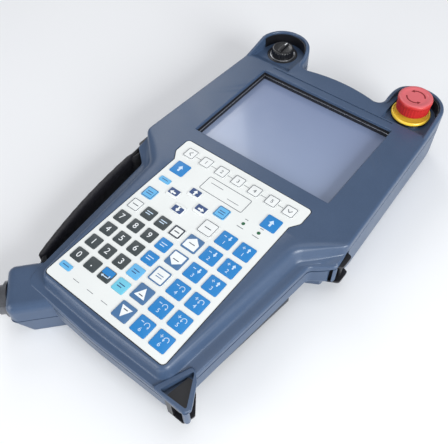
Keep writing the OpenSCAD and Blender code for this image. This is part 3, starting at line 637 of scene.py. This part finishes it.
def film_outline(extra, fine=2):
    """Plan of the keypad film: wider over the top row."""
    top_w, low_w = 62.2, 56.8
    side = [[top_w, -64.3, 3, 4, 1], [top_w, -79.8, 3, 2, 1],
            [low_w, -87.8, 3, 2, 1], [low_w, -225.8, 3, 4, 1]]
    return grown(rounded(side + [[-p[0]] + p[1:] for p in side[::-1]], fine), extra) + [-0.7, 0]


def dish(side):
    """The sunk floor of an ear, and the space over the slope by which it climbs to the face."""
    foot = EAR_Y - 22.5
    start, top = (51.0, 65.3) if side > 0 else (47.8, foot + 10)
    wall = grown(housing(FACE), -EAR_WALL)
    wall = wall[(wall[:, 0] > start) & (wall[:, 1] > foot)]
    plan = np.vstack([[[start, foot - 1], [start, wall[0][1]]], wall, [[wall[-1][0], foot - 1]]])
    bowl = loft([flat(plan, 40), flat(plan, DISH_Z + 0.9), flat(shrunk(plan, 0.25), DISH_Z + 0.3),
                 flat(shrunk(plan, 0.9), DISH_Z)])
    t = np.linspace(1, 0, 9)
    rise = 3 * t**2 - 2 * t**3
    climb = np.column_stack([top + (foot - 0.6 - top) * t, DISH_Z + (0.06 - DISH_Z) * rise])
    section = [[150, DISH_Z - 1], [150, 40], [foot - 0.6, 40], *climb.tolist(), [top + 0.5, DISH_Z - 1]]
    space = across(section, 0, 130)
    return (bowl, space) if side > 0 else (flipped(bowl), flipped(space))


def anchor_plan(extra):
    """Plan of a shoulder's strap anchor."""
    x, y = ANCHOR
    out, back = x + 4.3 + extra, x - 9.0 - extra
    return rounded([[out, y + 6 + extra, 2, 3, 1], [out, y - 6 - extra, 3, 3, 1],
                    [back, y - 13 - extra, 0.5, 1, 1], [back, y + 10 + extra, 0.5, 1, 1]], 2)


def low_anchor_plan(extra):
    """Plan of the strap anchor at the foot."""
    x, y = LOW_ANCHOR
    return rounded([[x + 4 + extra, y + extra, 2, 3, 1], [x + 1 + extra, y - 8.5 - extra, 2, 3, 1],
                    [x - 13 - extra, y - 8.5 - extra, 0.5, 1, 1], [x - 13 - extra, y - 4, 0.5, 1, 1],
                    [x - 10, y + 12 + extra, 0.5, 1, 1], [x - 5.5 + extra, y + 12 + extra, 0.5, 1, 1]], 2)


def cable_block():
    """Upper half of the block that carries the cable's socket."""
    plan = rounded([[0, 20, 6.5, 8, 1], [0, -20, 6.5, 8, 1], [-42, -20, 6.5, 8, 1], [-42, 20, 6.5, 8, 1]])
    return turned(prism(plan, -29.2, -12, top=6.4, steps=6), BLOCK_TURN, BLOCK_END)


def lug():
    """Three-cornered lug over the low strap anchor, its column, and the hollow in its top."""
    x, y = LOW_ANCHOR
    plate_plan = rounded([[x - 11.5, y + 20, 3, 3, 1], [x - 3, y + 12, 3, 3, 1], [x + 6, y - 4, 2.5, 5, 1],
                          [x + 3.6, y - 8.6, 2.5, 5, 1], [x - 24, y - 8.5, 2, 3, 1]], 2)
    hollow_plan = rounded([[x - 8.8, y + 17, 1, 3, 1], [x + 3.2, y - 5.4, 1, 3, 1],
                           [x - 18.5, y - 6.4, 1, 3, 1]])
    column_plan = arc(2.4, 0, -345, 24) + [x + 3.1, y - 6.4]
    return (prism(plate_plan, -13, -9.9, top=1.1), prism(column_plan, -30, -11, foot=1.6),
            prism(hollow_plan, -16.5, 5))


def front_housing():
    rings = [rim_ring(FACE, *row) for row in RIM] + [rim_ring(LEDGE, *row) for row in SKIRT]
    shell = placed("front_housing", loft(smoothed(rings, 3)))
    shell.data.materials.append(MAT["housing"])
    cleaned(shell)
    combine(shell, cutter(below_joint()))
    lug_plate, column, hollow = lug()
    for part in (cable_block(), lug_plate, column):
        combine(shell, cutter(part), "UNION")
    groove = pit(rectangle(126, 1.4, 0.5) + [0, 58.5], -1.1, 0.25, 0.2)
    film_seat = pit(film_outline(0.7), -1.6, 0.3, 0.1)
    window = pit(rectangle(WINDOW_W, WINDOW_H, 1, 6), -9.6, 0.55, 0.1)
    for part in (groove, film_seat, window, hollow):
        combine(shell, cutter(part))
    anchor_mid, anchor_size = at_box("strap_anchors")
    roof = anchor_mid[2] + anchor_size[2] / 2 + ANCHOR_FIT
    for side in (1, -1):
        bowl, space = dish(side)
        dish_tool = cutter(bowl)
        combine(dish_tool, cutter(space), "INTERSECT")
        combine(shell, dish_tool)
        pocket = prism(anchor_plan(ANCHOR_FIT), -49, roof)
        combine(shell, cutter(pocket if side > 0 else flipped(pocket)))
    combine(shell, cutter(prism(low_anchor_plan(ANCHOR_FIT), -49, -13)))
    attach(shell, "root")
    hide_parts("front_case")
    shade(shell.data, 32)
    even_normals(shell)


def window_rib(name, z, out, width, material):
    """A fine moulded line round the window."""
    w, h = WINDOW_W + 2 * out, WINDOW_H + 2 * out
    outer, inner = rectangle(w, h, 1, 6), rectangle(w - 2 * width, h - 2 * width, 0.6, 6)
    rings = [flat(outer, z - 0.25), flat(outer, z + 0.25), flat(inner, z + 0.1), flat(inner, z - 0.1)]
    piece(name, tube(rings), material, "root", 40)


def ear_liner(name, side):
    """A black strip round the inner wall of a raised guard: painted shade, standing for the shadow on that
    wall.
    """
    base = housing(FACE)
    wall, inner, height = grown(base, -4.0), grown(base, -4.6), guard(base)
    foot = EAR_Y - 14
    keep = (wall[:, 0] > (51.6 if side > 0 else 48.4)) & (wall[:, 1] > foot)
    wall, inner, height = wall[keep], inner[keep], height[keep]
    rise = np.where(wall[:, 0] > 80, ramp(wall[:, 1], foot, foot + 16), 1)
    low, top = np.full(len(wall), DISH_Z + 0.1), DISH_Z + 0.2 + (3.4 + height * 0.8) * rise
    rings = [np.column_stack(pair) for pair in
             ((wall, low), (wall, top), (inner, top - 0.15), (inner, low))]
    count = len(wall)
    points, faces = loft(rings + rings[:1], False, False, closed=False)
    ends = [(0, count, 2 * count, 3 * count), (count - 1, 4 * count - 1, 3 * count - 1, 2 * count - 1)]
    part = points, faces + ends
    piece(name, part if side > 0 else flipped(part), "black_trim", "root", 35)


front_housing()
window_rib("window_rib", -1.95, 0.05, 0.75, "housing")
# painted highlight: a bright steel band stands for the light caught on the window liner's step edge
window_rib("liner_highlight_rib", -5.0, -1.1, 0.5, "screws")
# black strips inside both ear guards: painted shade on the guards' inner walls
ear_liner("ear_liner_right", 1)
ear_liner("ear_liner_left", -1)


# -------------------- prints
PRINTS = {}
NUMERALS = {}
OUTLINE_W, FINE_W, LINE_W = 0.5, 0.6, 0.7


def ink(body, colour, *parts):
    """Puts printed parts on a body's sheet of that colour, to be made at the end."""
    PRINTS.setdefault((body, colour), []).extend(parts)


def print_all():
    for (body, colour), parts in PRINTS.items():
        piece("print_%s_%s" % (body, colour), joined(*parts), colour, body, 0)


def patch(outline, z=KEY_TOP, t=PRINT_T):
    return loft([flat(outline, z + t), flat(outline, z)])


def band(outer, inner, z=KEY_TOP, t=PRINT_T):
    """A printed frame between two outlines with the same number of points."""
    return loft([flat(outer, z), flat(outer, z + t), flat(inner, z + t), flat(inner, z)], False, False)


def frame_of(mid, w, h, line, z=KEY_TOP, radius=1.2):
    """A printed rectangle with round corners."""
    return band(rectangle(w, h, radius, 4) + mid,
                rectangle(w - 2 * line, h - 2 * line, max(0.3, radius - line), 4) + mid, z)


def stroke(path, width, z=KEY_TOP):
    """A printed line through the given points."""
    parts = []
    for start, end in zip(path[:-1], path[1:]):
        start, end = np.array(start, float), np.array(end, float)
        side = unit(end - start)[::-1] * [-1, 1] * width / 2
        parts.append(patch(np.array([start + side, end + side, end - side, start - side]), z))
    return joined(*parts)


def dash(mid, left, right, y, width=LINE_W, z=KEY_TOP):
    """A level printed line beside a key's middle; it stands for a word."""
    return stroke([mid + [left, y], mid + [right, y]], width, z)


def numeral(char, size, at, z=KEY_TOP):
    """One digit as a flat mesh."""
    if char not in NUMERALS:
        curve = bpy.data.curves.new("numeral", "FONT")
        curve.body, curve.align_x, curve.align_y, curve.size = char, "CENTER", "CENTER", 1.0
        curve.resolution_u, curve.extrude = 3, 0.012
        obj = bpy.data.objects.new("numeral", curve)
        scene.collection.objects.link(obj)
        mesh = bpy.data.meshes.new_from_object(obj.evaluated_get(bpy.context.evaluated_depsgraph_get()))
        NUMERALS[char] = np.array([v.co for v in mesh.vertices]), [tuple(f.vertices) for f in mesh.polygons]
        bpy.data.objects.remove(obj)
        bpy.data.curves.remove(curve)
        bpy.data.meshes.remove(mesh)
    points, faces = NUMERALS[char]
    middle = (points.min(0) + points.max(0)) / 2
    return (points - middle) * [size, size, 1.2] + [at[0], at[1], z + 0.015], faces


def arrow(mid, length, turn):
    """Plan of a block arrow."""
    plan = np.array([[-0.5, -0.14], [-0.5, 0.14], [0.02, 0.14], [0.02, 0.36], [0.5, 0], [0.02, -0.36],
                     [0.02, -0.14]])
    return spun(plan * length, turn) + mid


def house(mid, w, h, way):
    """Plan of a pentagon that points up (1) or down (-1)."""
    outline = np.array([[-w / 2, -h / 2], [-w / 2, h * 0.08], [0, h / 2], [w / 2, h * 0.08],
                        [w / 2, -h / 2]])
    return (outline * [1, way])[::-way] + mid


# -------------------- keypad
FIXED_KEY = 10.5                    # width of the keys that don't move
KEY_FRAME = 9.9
PITCH_X, PITCH_Y = 14.2, 14.55
NUMBERS_AT = np.array([-48.8, -142.8])


def key_pad(mid, w=FIXED_KEY, h=FIXED_KEY):
    return moved(prism(rectangle(w, h, 1.2), -1.85, KEY_TOP, top=0.3), mid)


def move_key(body, colour):
    """A moving key's cap, on its own body. Gives its middle and size."""
    node = "key_" + body
    mid, size = at_box(node)
    mid, w, h = mid[:2], size[0] - 1.2, size[1] - 1.2
    cap = piece("cap_" + body, key_pad(mid, w, h), colour, body, 50)
    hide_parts(node)
    return mid, w, h


def film_edge():
    """The dark line round the film, at the bottom of its gap: painted shade, a black band where the gap's
    shadow falls.
    """
    piece("sheet_gap_shade", band(film_outline(0.64), film_outline(-0.15), -0.85, 0.25), "black_trim", "root", 0)


def function_row():
    """Seven framed keys joined by lines: back, 1 to 5, and a tick."""
    signs = {0: [[1.2, 2], [-1.2, 0], [1.2, -2]], 6: [[-2, 1.2], [0, -1.2], [2, 1.2]]}
    mids = []
    for i in range(7):
        body = "function_%d" % (i + 1)
        mid, w, h = move_key(body, "white_keys")
        ink(body, "ink", frame_of(mid, w - 0.7, h - 0.7, OUTLINE_W, radius=1.3))
        ink(body, "ink", stroke(mid + signs[i], FINE_W) if i in signs else numeral(str(i), 5.0, mid))
        mids.append(mid)
    for left, right in zip(mids[:-1], mids[1:]):
        if abs(right[0] - left[0]) > 12:
            ink("root", "ink", stroke([left + [5.7, 0], right - [5.7, 0]], 0.4, FILM_TOP))


def shift_keys():
    for body in ("shift_left", "shift_right"):
        mid = move_key(body, "blue_keys")[0]
        ink(body, "pale_ink", patch(arrow(mid, 6.4, 90)))


def cursor_keys():
    """Four arrows on dark patches; each patch and arrow lies a little off the middle."""
    cursors = {"cursor_up": (90, 0.9, [0, 0.5]), "cursor_right": (0, 0.9, [0.6, 0]),
               "cursor_down": (-90, -0.9, [0, -0.5]), "cursor_left": (180, 0.9, [-0.6, 0])}
    for body, (turn, rise, shift) in cursors.items():
        mid, w, h = move_key(body, "white_keys")
        tip = mid + shift
        ink(body, "navy_keys", patch(rectangle(w - 1.2, h - 2.6, 0.7, 3) + mid + [0, rise]))
        ink(body, "white_ink", patch(arrow(tip, 5.6, turn), KEY_TOP + 0.03))
        ink(body, "ink", band(arrow(tip, 6.3, turn), arrow(tip, 5.5, turn), KEY_TOP + 0.02))


def side_keys():
    """Six keys in a column: a framed one, two house shapes, a thickly framed one, two triangles."""
    def step_key(body, way):
        mid, w, h = move_key(body, "slate_keys")
        ink(body, "white_ink", patch(house(mid, w - 2.4, h - 2.6, way), KEY_TOP + 0.01))
        ink(body, "ink", dash(mid, -2.6, 2.6, -0.6, z=KEY_TOP + 0.05))

    def speed_key(body, way):
        mid = move_key(body, "slate_keys")[0]
        triangle = np.array([[-4.6, -3.6 * way], [0, 4.6 * way], [4.6, -3.6 * way]])
        ink(body, "white_ink", patch(triangle + mid, KEY_TOP + 0.01))
        ink(body, "ink", dash(mid, -1.8, 1.8, -1.6 * way, z=KEY_TOP + 0.05))

    mid, w, h = move_key("side_1", "white_keys")
    ink("side_1", "ink", frame_of(mid, w - 0.7, h - 0.7, OUTLINE_W, radius=1.4), dash(mid, -3, 3, 0))
    step_key("side_2", 1)
    step_key("side_3", -1)
    mid, w, h = move_key("side_4", "white_keys")
    ink("side_4", "slate_keys", frame_of(mid, w - 0.4, h - 0.4, 1.15, radius=1.5),
        dash(mid, -2.8, 2.8, 0.8, FINE_W), dash(mid, -2.8, 2.8, -1.2, FINE_W))
    speed_key("side_5", 1)
    speed_key("side_6", -1)


def jog_keys():
    """Two keys for each of six axes: three straight ones, three that turn."""
    for i in range(6):
        for sign in ("minus", "plus"):
            body = "jog_%d_%s" % (i + 1, sign)
            mid = move_key(body, "blue_keys")[0]
            ink(body, "pale_ink", dash(mid, -3.6, -1.2, 2.6, 0.55))
            if sign == "plus":
                ink(body, "pale_ink", stroke([mid + [-2.4, 3.8], mid + [-2.4, 1.4]], 0.55))
            if i < 3:
                ink(body, "pale_ink", patch(arrow(mid + [2.0, 2.5], 4.2, 90 if sign == "plus" else -90)))
            else:
                turn = (-30, 210) if sign == "plus" else (210, -30)
                curl = arc(1.9, *turn, 9) + mid + [2.0, 1.9]
                tip = np.array([[-0.9, 0.3], [0.9, 0.3], [0, -1.2]]) + curl[-1]
                ink(body, "pale_ink", stroke(curl, 0.5), patch(tip))
            ink(body, "pale_ink", numeral(str(i + 1), 4.6, mid + [0, -2.8]))


def number_block():
    """The keys that share one fixed node: each colour is one mesh."""
    caps = {}

    def key(colour, at, *size):
        caps.setdefault(colour, []).append(key_pad(at, *size))
        return np.array(at, float)

    def at(column, row):
        return NUMBERS_AT + [PITCH_X * column, -PITCH_Y * row]

    def two_lines(mid, colour, upper=1.0, lower=-1.2, short=2.8, left=-2.8, right=2.8):
        ink("root", colour, dash(mid, left, right, upper), dash(mid, left, short, lower))

    for place in ((-48, -110), (-49, -213.4)):
        ink("root", "navy_keys", dash(key("sky", place, FIXED_KEY, 5), -3, 3, 0, FINE_W))
    for place in ((8.5, -108), (-48.4, -127.2)):
        mid = key("sky", place)
        ink("root", "navy_keys", frame_of(mid, KEY_FRAME, KEY_FRAME, OUTLINE_W))
        two_lines(mid, "navy_keys")
    mid = key("white_keys", at(0, 0))
    ink("root", "ink", frame_of(mid, KEY_FRAME, KEY_FRAME, OUTLINE_W), dash(mid, -2.8, 2.8, 0))
    for column in (1, 2):
        two_lines(key("dark_keys", at(column, 0)), "pale_ink", 1.4, -0.6, 1.6, -3, 3)
    mid = key("white_keys", at(3, 0))
    ink("root", "ink", frame_of(mid, KEY_FRAME, KEY_FRAME, 1.3), dash(mid, -2.4, 2.4, 0, 0.9))
    for row, (colour, words) in enumerate((("blue_keys", "pale_ink"), ("blue_keys", "pale_ink"),
                                           ("sky", "navy_keys"), ("teal", "navy_keys")), 1):
        for column in range(2 if row == 4 else 3):
            mid = key("dark_keys", at(column, row))
            if row < 4:
                ink("root", "white_ink", numeral(str(10 - 3 * row + column), 7.2, mid))
            elif column == 0:
                ink("root", "white_ink", numeral("0", 7.2, mid))
            else:
                ink("root", "white_ink", patch(rectangle(1.1, 1.1, 0.5, 3) + mid + [0, -1.5]))
        if row == 4:
            enter_key(key("dark_keys", at(2, row)))
        two_lines(key(colour, at(3, row)), words, short=1.4)
    for colour, pads in caps.items():
        cap = piece("number_caps_" + colour, joined(*pads), colour, "root", 50)
        if colour == "sky":
            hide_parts("keypad_number_keys")


def enter_key(mid):
    """A blue field with a bent arrow."""
    z = KEY_TOP + 0.03
    ink("root", "blue_keys", patch(rectangle(9.6, 5.2, 0.8, 3) + mid + [0, 2.2]))
    ink("root", "pale_ink", stroke([mid + [3, 0.6], mid + [3, -1.8], mid + [-2, -1.8]], LINE_W, z),
        patch(np.array([[-2, -0.6], [-2, -3.0], [-3.8, -1.8]]) + mid, z))


def film_prints():
    """The framed field over the cursor keys, and lines beside the lamps and at the foot."""
    field = np.array([-1.0, -91.9])
    ink("root", "ink", frame_of(field, 42, 14.8, OUTLINE_W, FILM_TOP, 1.5),
        dash(field, -16, -4, 2.4, 0.45, FILM_TOP), dash(field, 4, 15, -2.8, 0.45, FILM_TOP))
    for x in (27.5, 41.8):
        for y, w in ((-110.2, 6.0), (-101.6, 3.0)):
            ink("root", "ink", dash(np.array([x, y]), -w / 2, w / 2, 0, 0.5, FILM_TOP))
    for x in (-34, -20, -6):
        ink("root", "ink", dash(np.array([x, -217.5]), -3, 3, 0, 0.35, FILM_TOP))


film_edge()
function_row()
shift_keys()
cursor_keys()
side_keys()
jog_keys()
number_block()
film_prints()
print_all()


# -------------------- emergency stop
def stop_head():
    """The mushroom: a fluted side, a rolled lip and a shallow dish on top."""
    mid, size = at_box("estop_head")
    low, high, r = mid[2] - size[2] / 2, mid[2] + size[2] / 2, size[0] / 2
    side = [(4.1, low), (r - 1.6, low), (r - 1.0, low + 0.15), (r - 0.7, low + 0.6), (r - 0.55, low + 2),
            (r - 0.45, high - 5), (r - 0.3, high - 3.9), (r, high - 3.2), (r, high - 1.7),
            (r - 0.25, high - 0.9), (r - 0.8, high - 0.3), (r - 1.6, high - 0.02), (r - 2.6, high),
            (r - 3.6, high - 0.06), (r - 4.4, high - 0.3), (r - 5.2, high - 0.5), (r - 7, high - 0.55),
            (3, high - 0.5), (0.3, high - 0.48)]

    def flutes(turn, z):
        return -0.28 * (0.5 - 0.5 * np.cos(turn * 36)) ** 2 * (low + 0.8 < z < high - 3.5)

    fine = []
    for (r1, z1), (r2, z2) in zip(side[:-1], side[1:]):
        steps = 5 if abs(z1 - z2) > 3 else 2
        fine += [(r1 + (r2 - r1) * k / steps, z1 + (z2 - z1) * k / steps) for k in range(steps)]
    head = piece("stop_head", lathe(fine + side[-1:], mid[:2], 288, flutes), "stop_red", "estop_head", 45)
    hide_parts("estop_head")
    marks = []
    for start in (20, 200):
        end, tip = start + 105, start + 127
        curve = np.vstack([arc(8.2, start, end, 15), arc(7.0, end, start, 15)])
        point = np.vstack([arc(9.4, end, end, 1), arc(7.6, tip, tip, 1), arc(5.8, end, end, 1)])
        marks += [patch(plan + mid[:2], high - 0.53, 0.05) for plan in (curve, point)]
    piece("stop_arrows", joined(*marks), "stop_dark", "estop_head", 0)


def stop_collar():
    """A thin yellow flange on a black foot; the foot's black band under the raised flange is painted shade
    for the flange's shadow.
    """
    mid, size = at_box("estop_collar")
    top, r, bore = mid[2] + size[2] / 2 - 0.9, size[0] / 2, 4.2
    under = top - 2.8
    flange = [(bore, under), (bore, top - 1.1), (13.6, top - 1.1), (14.9, top - 0.9), (15.2, top - 0.3),
              (15.4, top - 0.08), (15.8, top), (16.1, top - 0.1), (16.4, top - 0.4), (r - 0.2, top - 0.9),
              (r, top - 1.3), (r, top - 2.2), (r - 0.25, top - 2.6), (r - 0.7, under)]
    collar = piece("stop_collar", lathe(flange, mid[:2], 144, hollow=True), "stop_yellow", "root", 40)
    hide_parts("estop_collar")
    # painted shade: the black foot shows under the yellow flange where its shadow falls
    foot = [(bore + 0.1, under - 0.05), (r - 1.1, under - 0.05), (r - 1.1, DISH_Z + 0.4),
            (r - 0.8, DISH_Z + 0.05), (11, DISH_Z + 0.05), (11, DISH_Z - 10), (bore + 0.1, DISH_Z - 10)]
    piece("stop_foot_shade", lathe(foot, mid[:2], 96, hollow=True), "black_trim", "root", 40)


# -------------------- selector
def selector():
    """A ribbed cap with a grip bar and a white mark, in a steel ring and a black bezel."""
    r, foot, top, seat = 10.8, -3.55, 3.65, DISH_Z + 0.02
    wall = [(r - 0.15 * k / 5, foot + 2 + (top - 3.4 - foot) * k / 5) for k in range(1, 6)]
    profile = [(0.3, foot), (r - 0.2, foot), (r, foot + 0.3), (r, foot + 1.2), (r - 0.05, foot + 2), *wall,
               (r - 0.35, top - 0.8), (r - 0.8, top - 0.3), (r - 1.5, top), (r - 2.6, top),
               (r - 3.2, top - 0.35), (r - 3.8, top - 0.5), (3, top - 0.5), (0.3, top - 0.5)]

    def ribs(turn, z):
        return -0.55 * (0.5 + 0.5 * np.cos(turn * 20)) ** 3 * (foot + 1.5 <= z <= top - 0.6)

    cap = piece("selector_cap", lathe(profile, KNOB, 240, ribs), "knob", "selector_knob", 42)
    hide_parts("selector_knob")
    grip = prism(rectangle(4, 16, 1.6), top - 1.2, top + 1.05, top=0.8)
    piece("selector_grip", moved(grip, KNOB), "knob", "selector_knob", 45)
    mark = rectangle(0.9, 4.2, 0.4, 3) + [KNOB[0], KNOB[1] + 5.2]
    piece("selector_mark", patch(mark, top + 1.02), "white_ink", "selector_knob", 0)
    rim = [(11.0, seat), (11.0, -3.3), (11.2, -3.15), (11.9, -3.15), (12.1, -3.3), (12.1, seat)]
    piece("selector_rim", lathe(rim, KNOB, 96, hollow=True), "screws", "root", 40)
    bezel = [(12.15, seat), (12.15, -3.5), (12.5, -3.4), (14.2, -3.4), (14.6, -3.6), (14.6, seat)]
    piece("selector_bezel", lathe(bezel, KNOB, 96, hollow=True), "black_trim", "root", 40)


stop_head()
stop_collar()
selector()


# -------------------- hand strap
def palm_pad():
    """Two sewn faces over foam, crowned between the seams, with soft ends."""
    length = np.linalg.norm(PAD_TO - PAD_FROM)
    along = (PAD_TO - PAD_FROM) / length
    out = np.array([along[1], -along[0]])
    turn = np.linspace(0, 2 * math.pi, 56, endpoint=False)
    side, up = signed_power(np.cos(turn), 0.75), signed_power(np.sin(turn), 0.42)
    rings = []
    for s in np.concatenate([np.linspace(-3.4, 4, 9), np.linspace(6, length - 6, 48),
                             np.linspace(length - 4, length + 3.4, 9)]):
        share = np.clip(s / length, 0, 1)
        mid = PAD_FROM + along * s + out * 12 * share * (1 - share)
        from_end = min(s + 3.5, length + 3.5 - s, 5.0)
        end = math.sqrt(max(0.02, 1 - (1 - from_end / 5.0) ** 2))
        crown = 0.86 + 0.14 * math.sin(math.pi * share) ** 0.5 + 0.02 * math.sin(s * 0.9)
        high = (15.2 + 0.6 * end + 0.15 * math.sin(s * 0.55)) * up
        seam = np.exp(-((np.abs(high) - 11.6) / 0.55) ** 2)
        stitch = 0.75 + 0.25 * math.cos(s * 2 * math.pi / 3.2)
        thick = 3.5 * end * crown * side * (1 - 0.22 * seam * stitch * end)
        rings.append(np.column_stack([mid + out * thick[:, None], -28.7 + high]))
    pad = piece("palm_pad", loft(rings), "strap_pad", "root", 60)
    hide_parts("strap_pad")


def ribbon(path):
    """A woven strap along a plan path, standing on edge, with soft rolled edges."""
    along = unit_rows(np.gradient(path, axis=0))
    out = np.column_stack([along[:, 1], -along[:, 0]])
    turn = np.linspace(0, 2 * math.pi, 28, endpoint=False)
    thick = WEB_T / 2 * signed_power(np.cos(turn), 0.45)
    half, middle = (STRAP_HIGH - STRAP_LOW) / 2, (STRAP_HIGH + STRAP_LOW) / 2
    rings = []
    for k, (at, side) in enumerate(zip(path, out)):
        high = middle + (half - 0.12 * math.sin(k * 0.9) ** 2) * signed_power(np.sin(turn), 0.25)
        rings.append(np.column_stack([at + side * thick[:, None], high]))
    return loft(rings)


def between(start, end, shares):
    return [np.array(start) * (1 - t) + np.array(end) * t for t in shares]


def webbing():
    """One strap round the shoulder's post and back to the pad, one from the pad to the block."""
    post = np.array([-ANCHOR[0], ANCHOR[1]])
    bend = 3.2
    out_leg = between(post - [bend, 0], (-100.8, -103.5), np.linspace(1, 0.04, 14))
    back_leg = between(post + [bend, 0], (-98.4, -103.5), np.linspace(0.04, 1, 14))
    upper = ribbon(np.vstack([out_leg, arc(bend, 180, 0, 25) + post, back_leg]))
    lower = ribbon(np.array(between((-81.4, -210.0), (-73.5, -224.0), np.linspace(0, 1, 16))))
    webs = piece("strap_webs", joined(upper, lower), "webbing", "root", 50)
    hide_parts("strap_webbing")


palm_pad()
webbing()


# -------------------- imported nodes
EVENED = ("rear_case", "lever_left", "lever_right", "case_seal", "cable_socket", "estop_stem", "lever_pins")


def dress():
    """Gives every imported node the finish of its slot."""
    slots = {part["node"]: part["material_slot"] for part in frame["record"]["subparts"]}
    for name, obj in frame["nodes"].items():
        material = MAT[slots[name]]
        for slot in obj.material_slots:
            slot.link = "OBJECT"
            slot.material = material
        if not obj.material_slots:
            obj.data.materials.append(material)
        if name in EVENED:
            shade(obj.data, 28)
            even_normals(obj)


dress()


# -------------------- studio
def floor():
    net = Net("studio_floor")
    pale = net.mix(net.noise(1.2, 2.0), (0.86, 0.86, 0.87, 1), (0.90, 0.90, 0.90, 1))
    half, low = 6, float(cad_box[0][2]) - 0.0002
    mesh = bpy.data.meshes.new("studio_floor")
    mesh.from_pydata([(x, y, low) for x, y in ((-half, -half), (half, -half), (half, half), (-half, half))],
                     [], [(0, 1, 2, 3)])
    mesh.materials.append(net.done(Base_Color=pale, Roughness=0.6))
    obj = bpy.data.objects.new("studio_floor", mesh)
    scene.collection.objects.link(obj)


def softbox(name, at, size, power, colour):
    """A rectangular light that faces the pendant; metres and watts."""
    data = bpy.data.lights.new(name, "AREA")
    data.shape, data.energy, data.color = "RECTANGLE", power, colour
    data.size, data.size_y = size
    obj = bpy.data.objects.new(name, data)
    obj.location = Vector(at)
    obj.rotation_euler = (-obj.location).to_track_quat("-Z", "Y").to_euler()
    scene.collection.objects.link(obj)


def studio():
    floor()
    softbox("overhead_softbox", (0.15, 0.15, 1.5), (0.9, 0.9), 4, (0.97, 0.98, 1.0))
    softbox("left_softbox", (-1.45, 1.25, 1.5), (0.8, 1.3), 9.5, (0.97, 0.98, 1.0))
    softbox("side_softbox", (1.4, -0.4, 0.70), (0.8, 0.8), 27, (0.95, 0.98, 1.0))
    softbox("front_softbox", (-0.55, -1.35, 0.55), (1.0, 0.9), 10, (0.96, 0.98, 1.0))
    scene.world = bpy.data.worlds.new("studio")
    scene.world.use_nodes = True
    back = scene.world.node_tree.nodes["Background"]
    back.inputs["Color"].default_value = (0.93, 0.95, 1.0, 1)
    back.inputs["Strength"].default_value = 0.36
    scene.view_settings.view_transform, scene.view_settings.look = "Standard", "None"


studio()
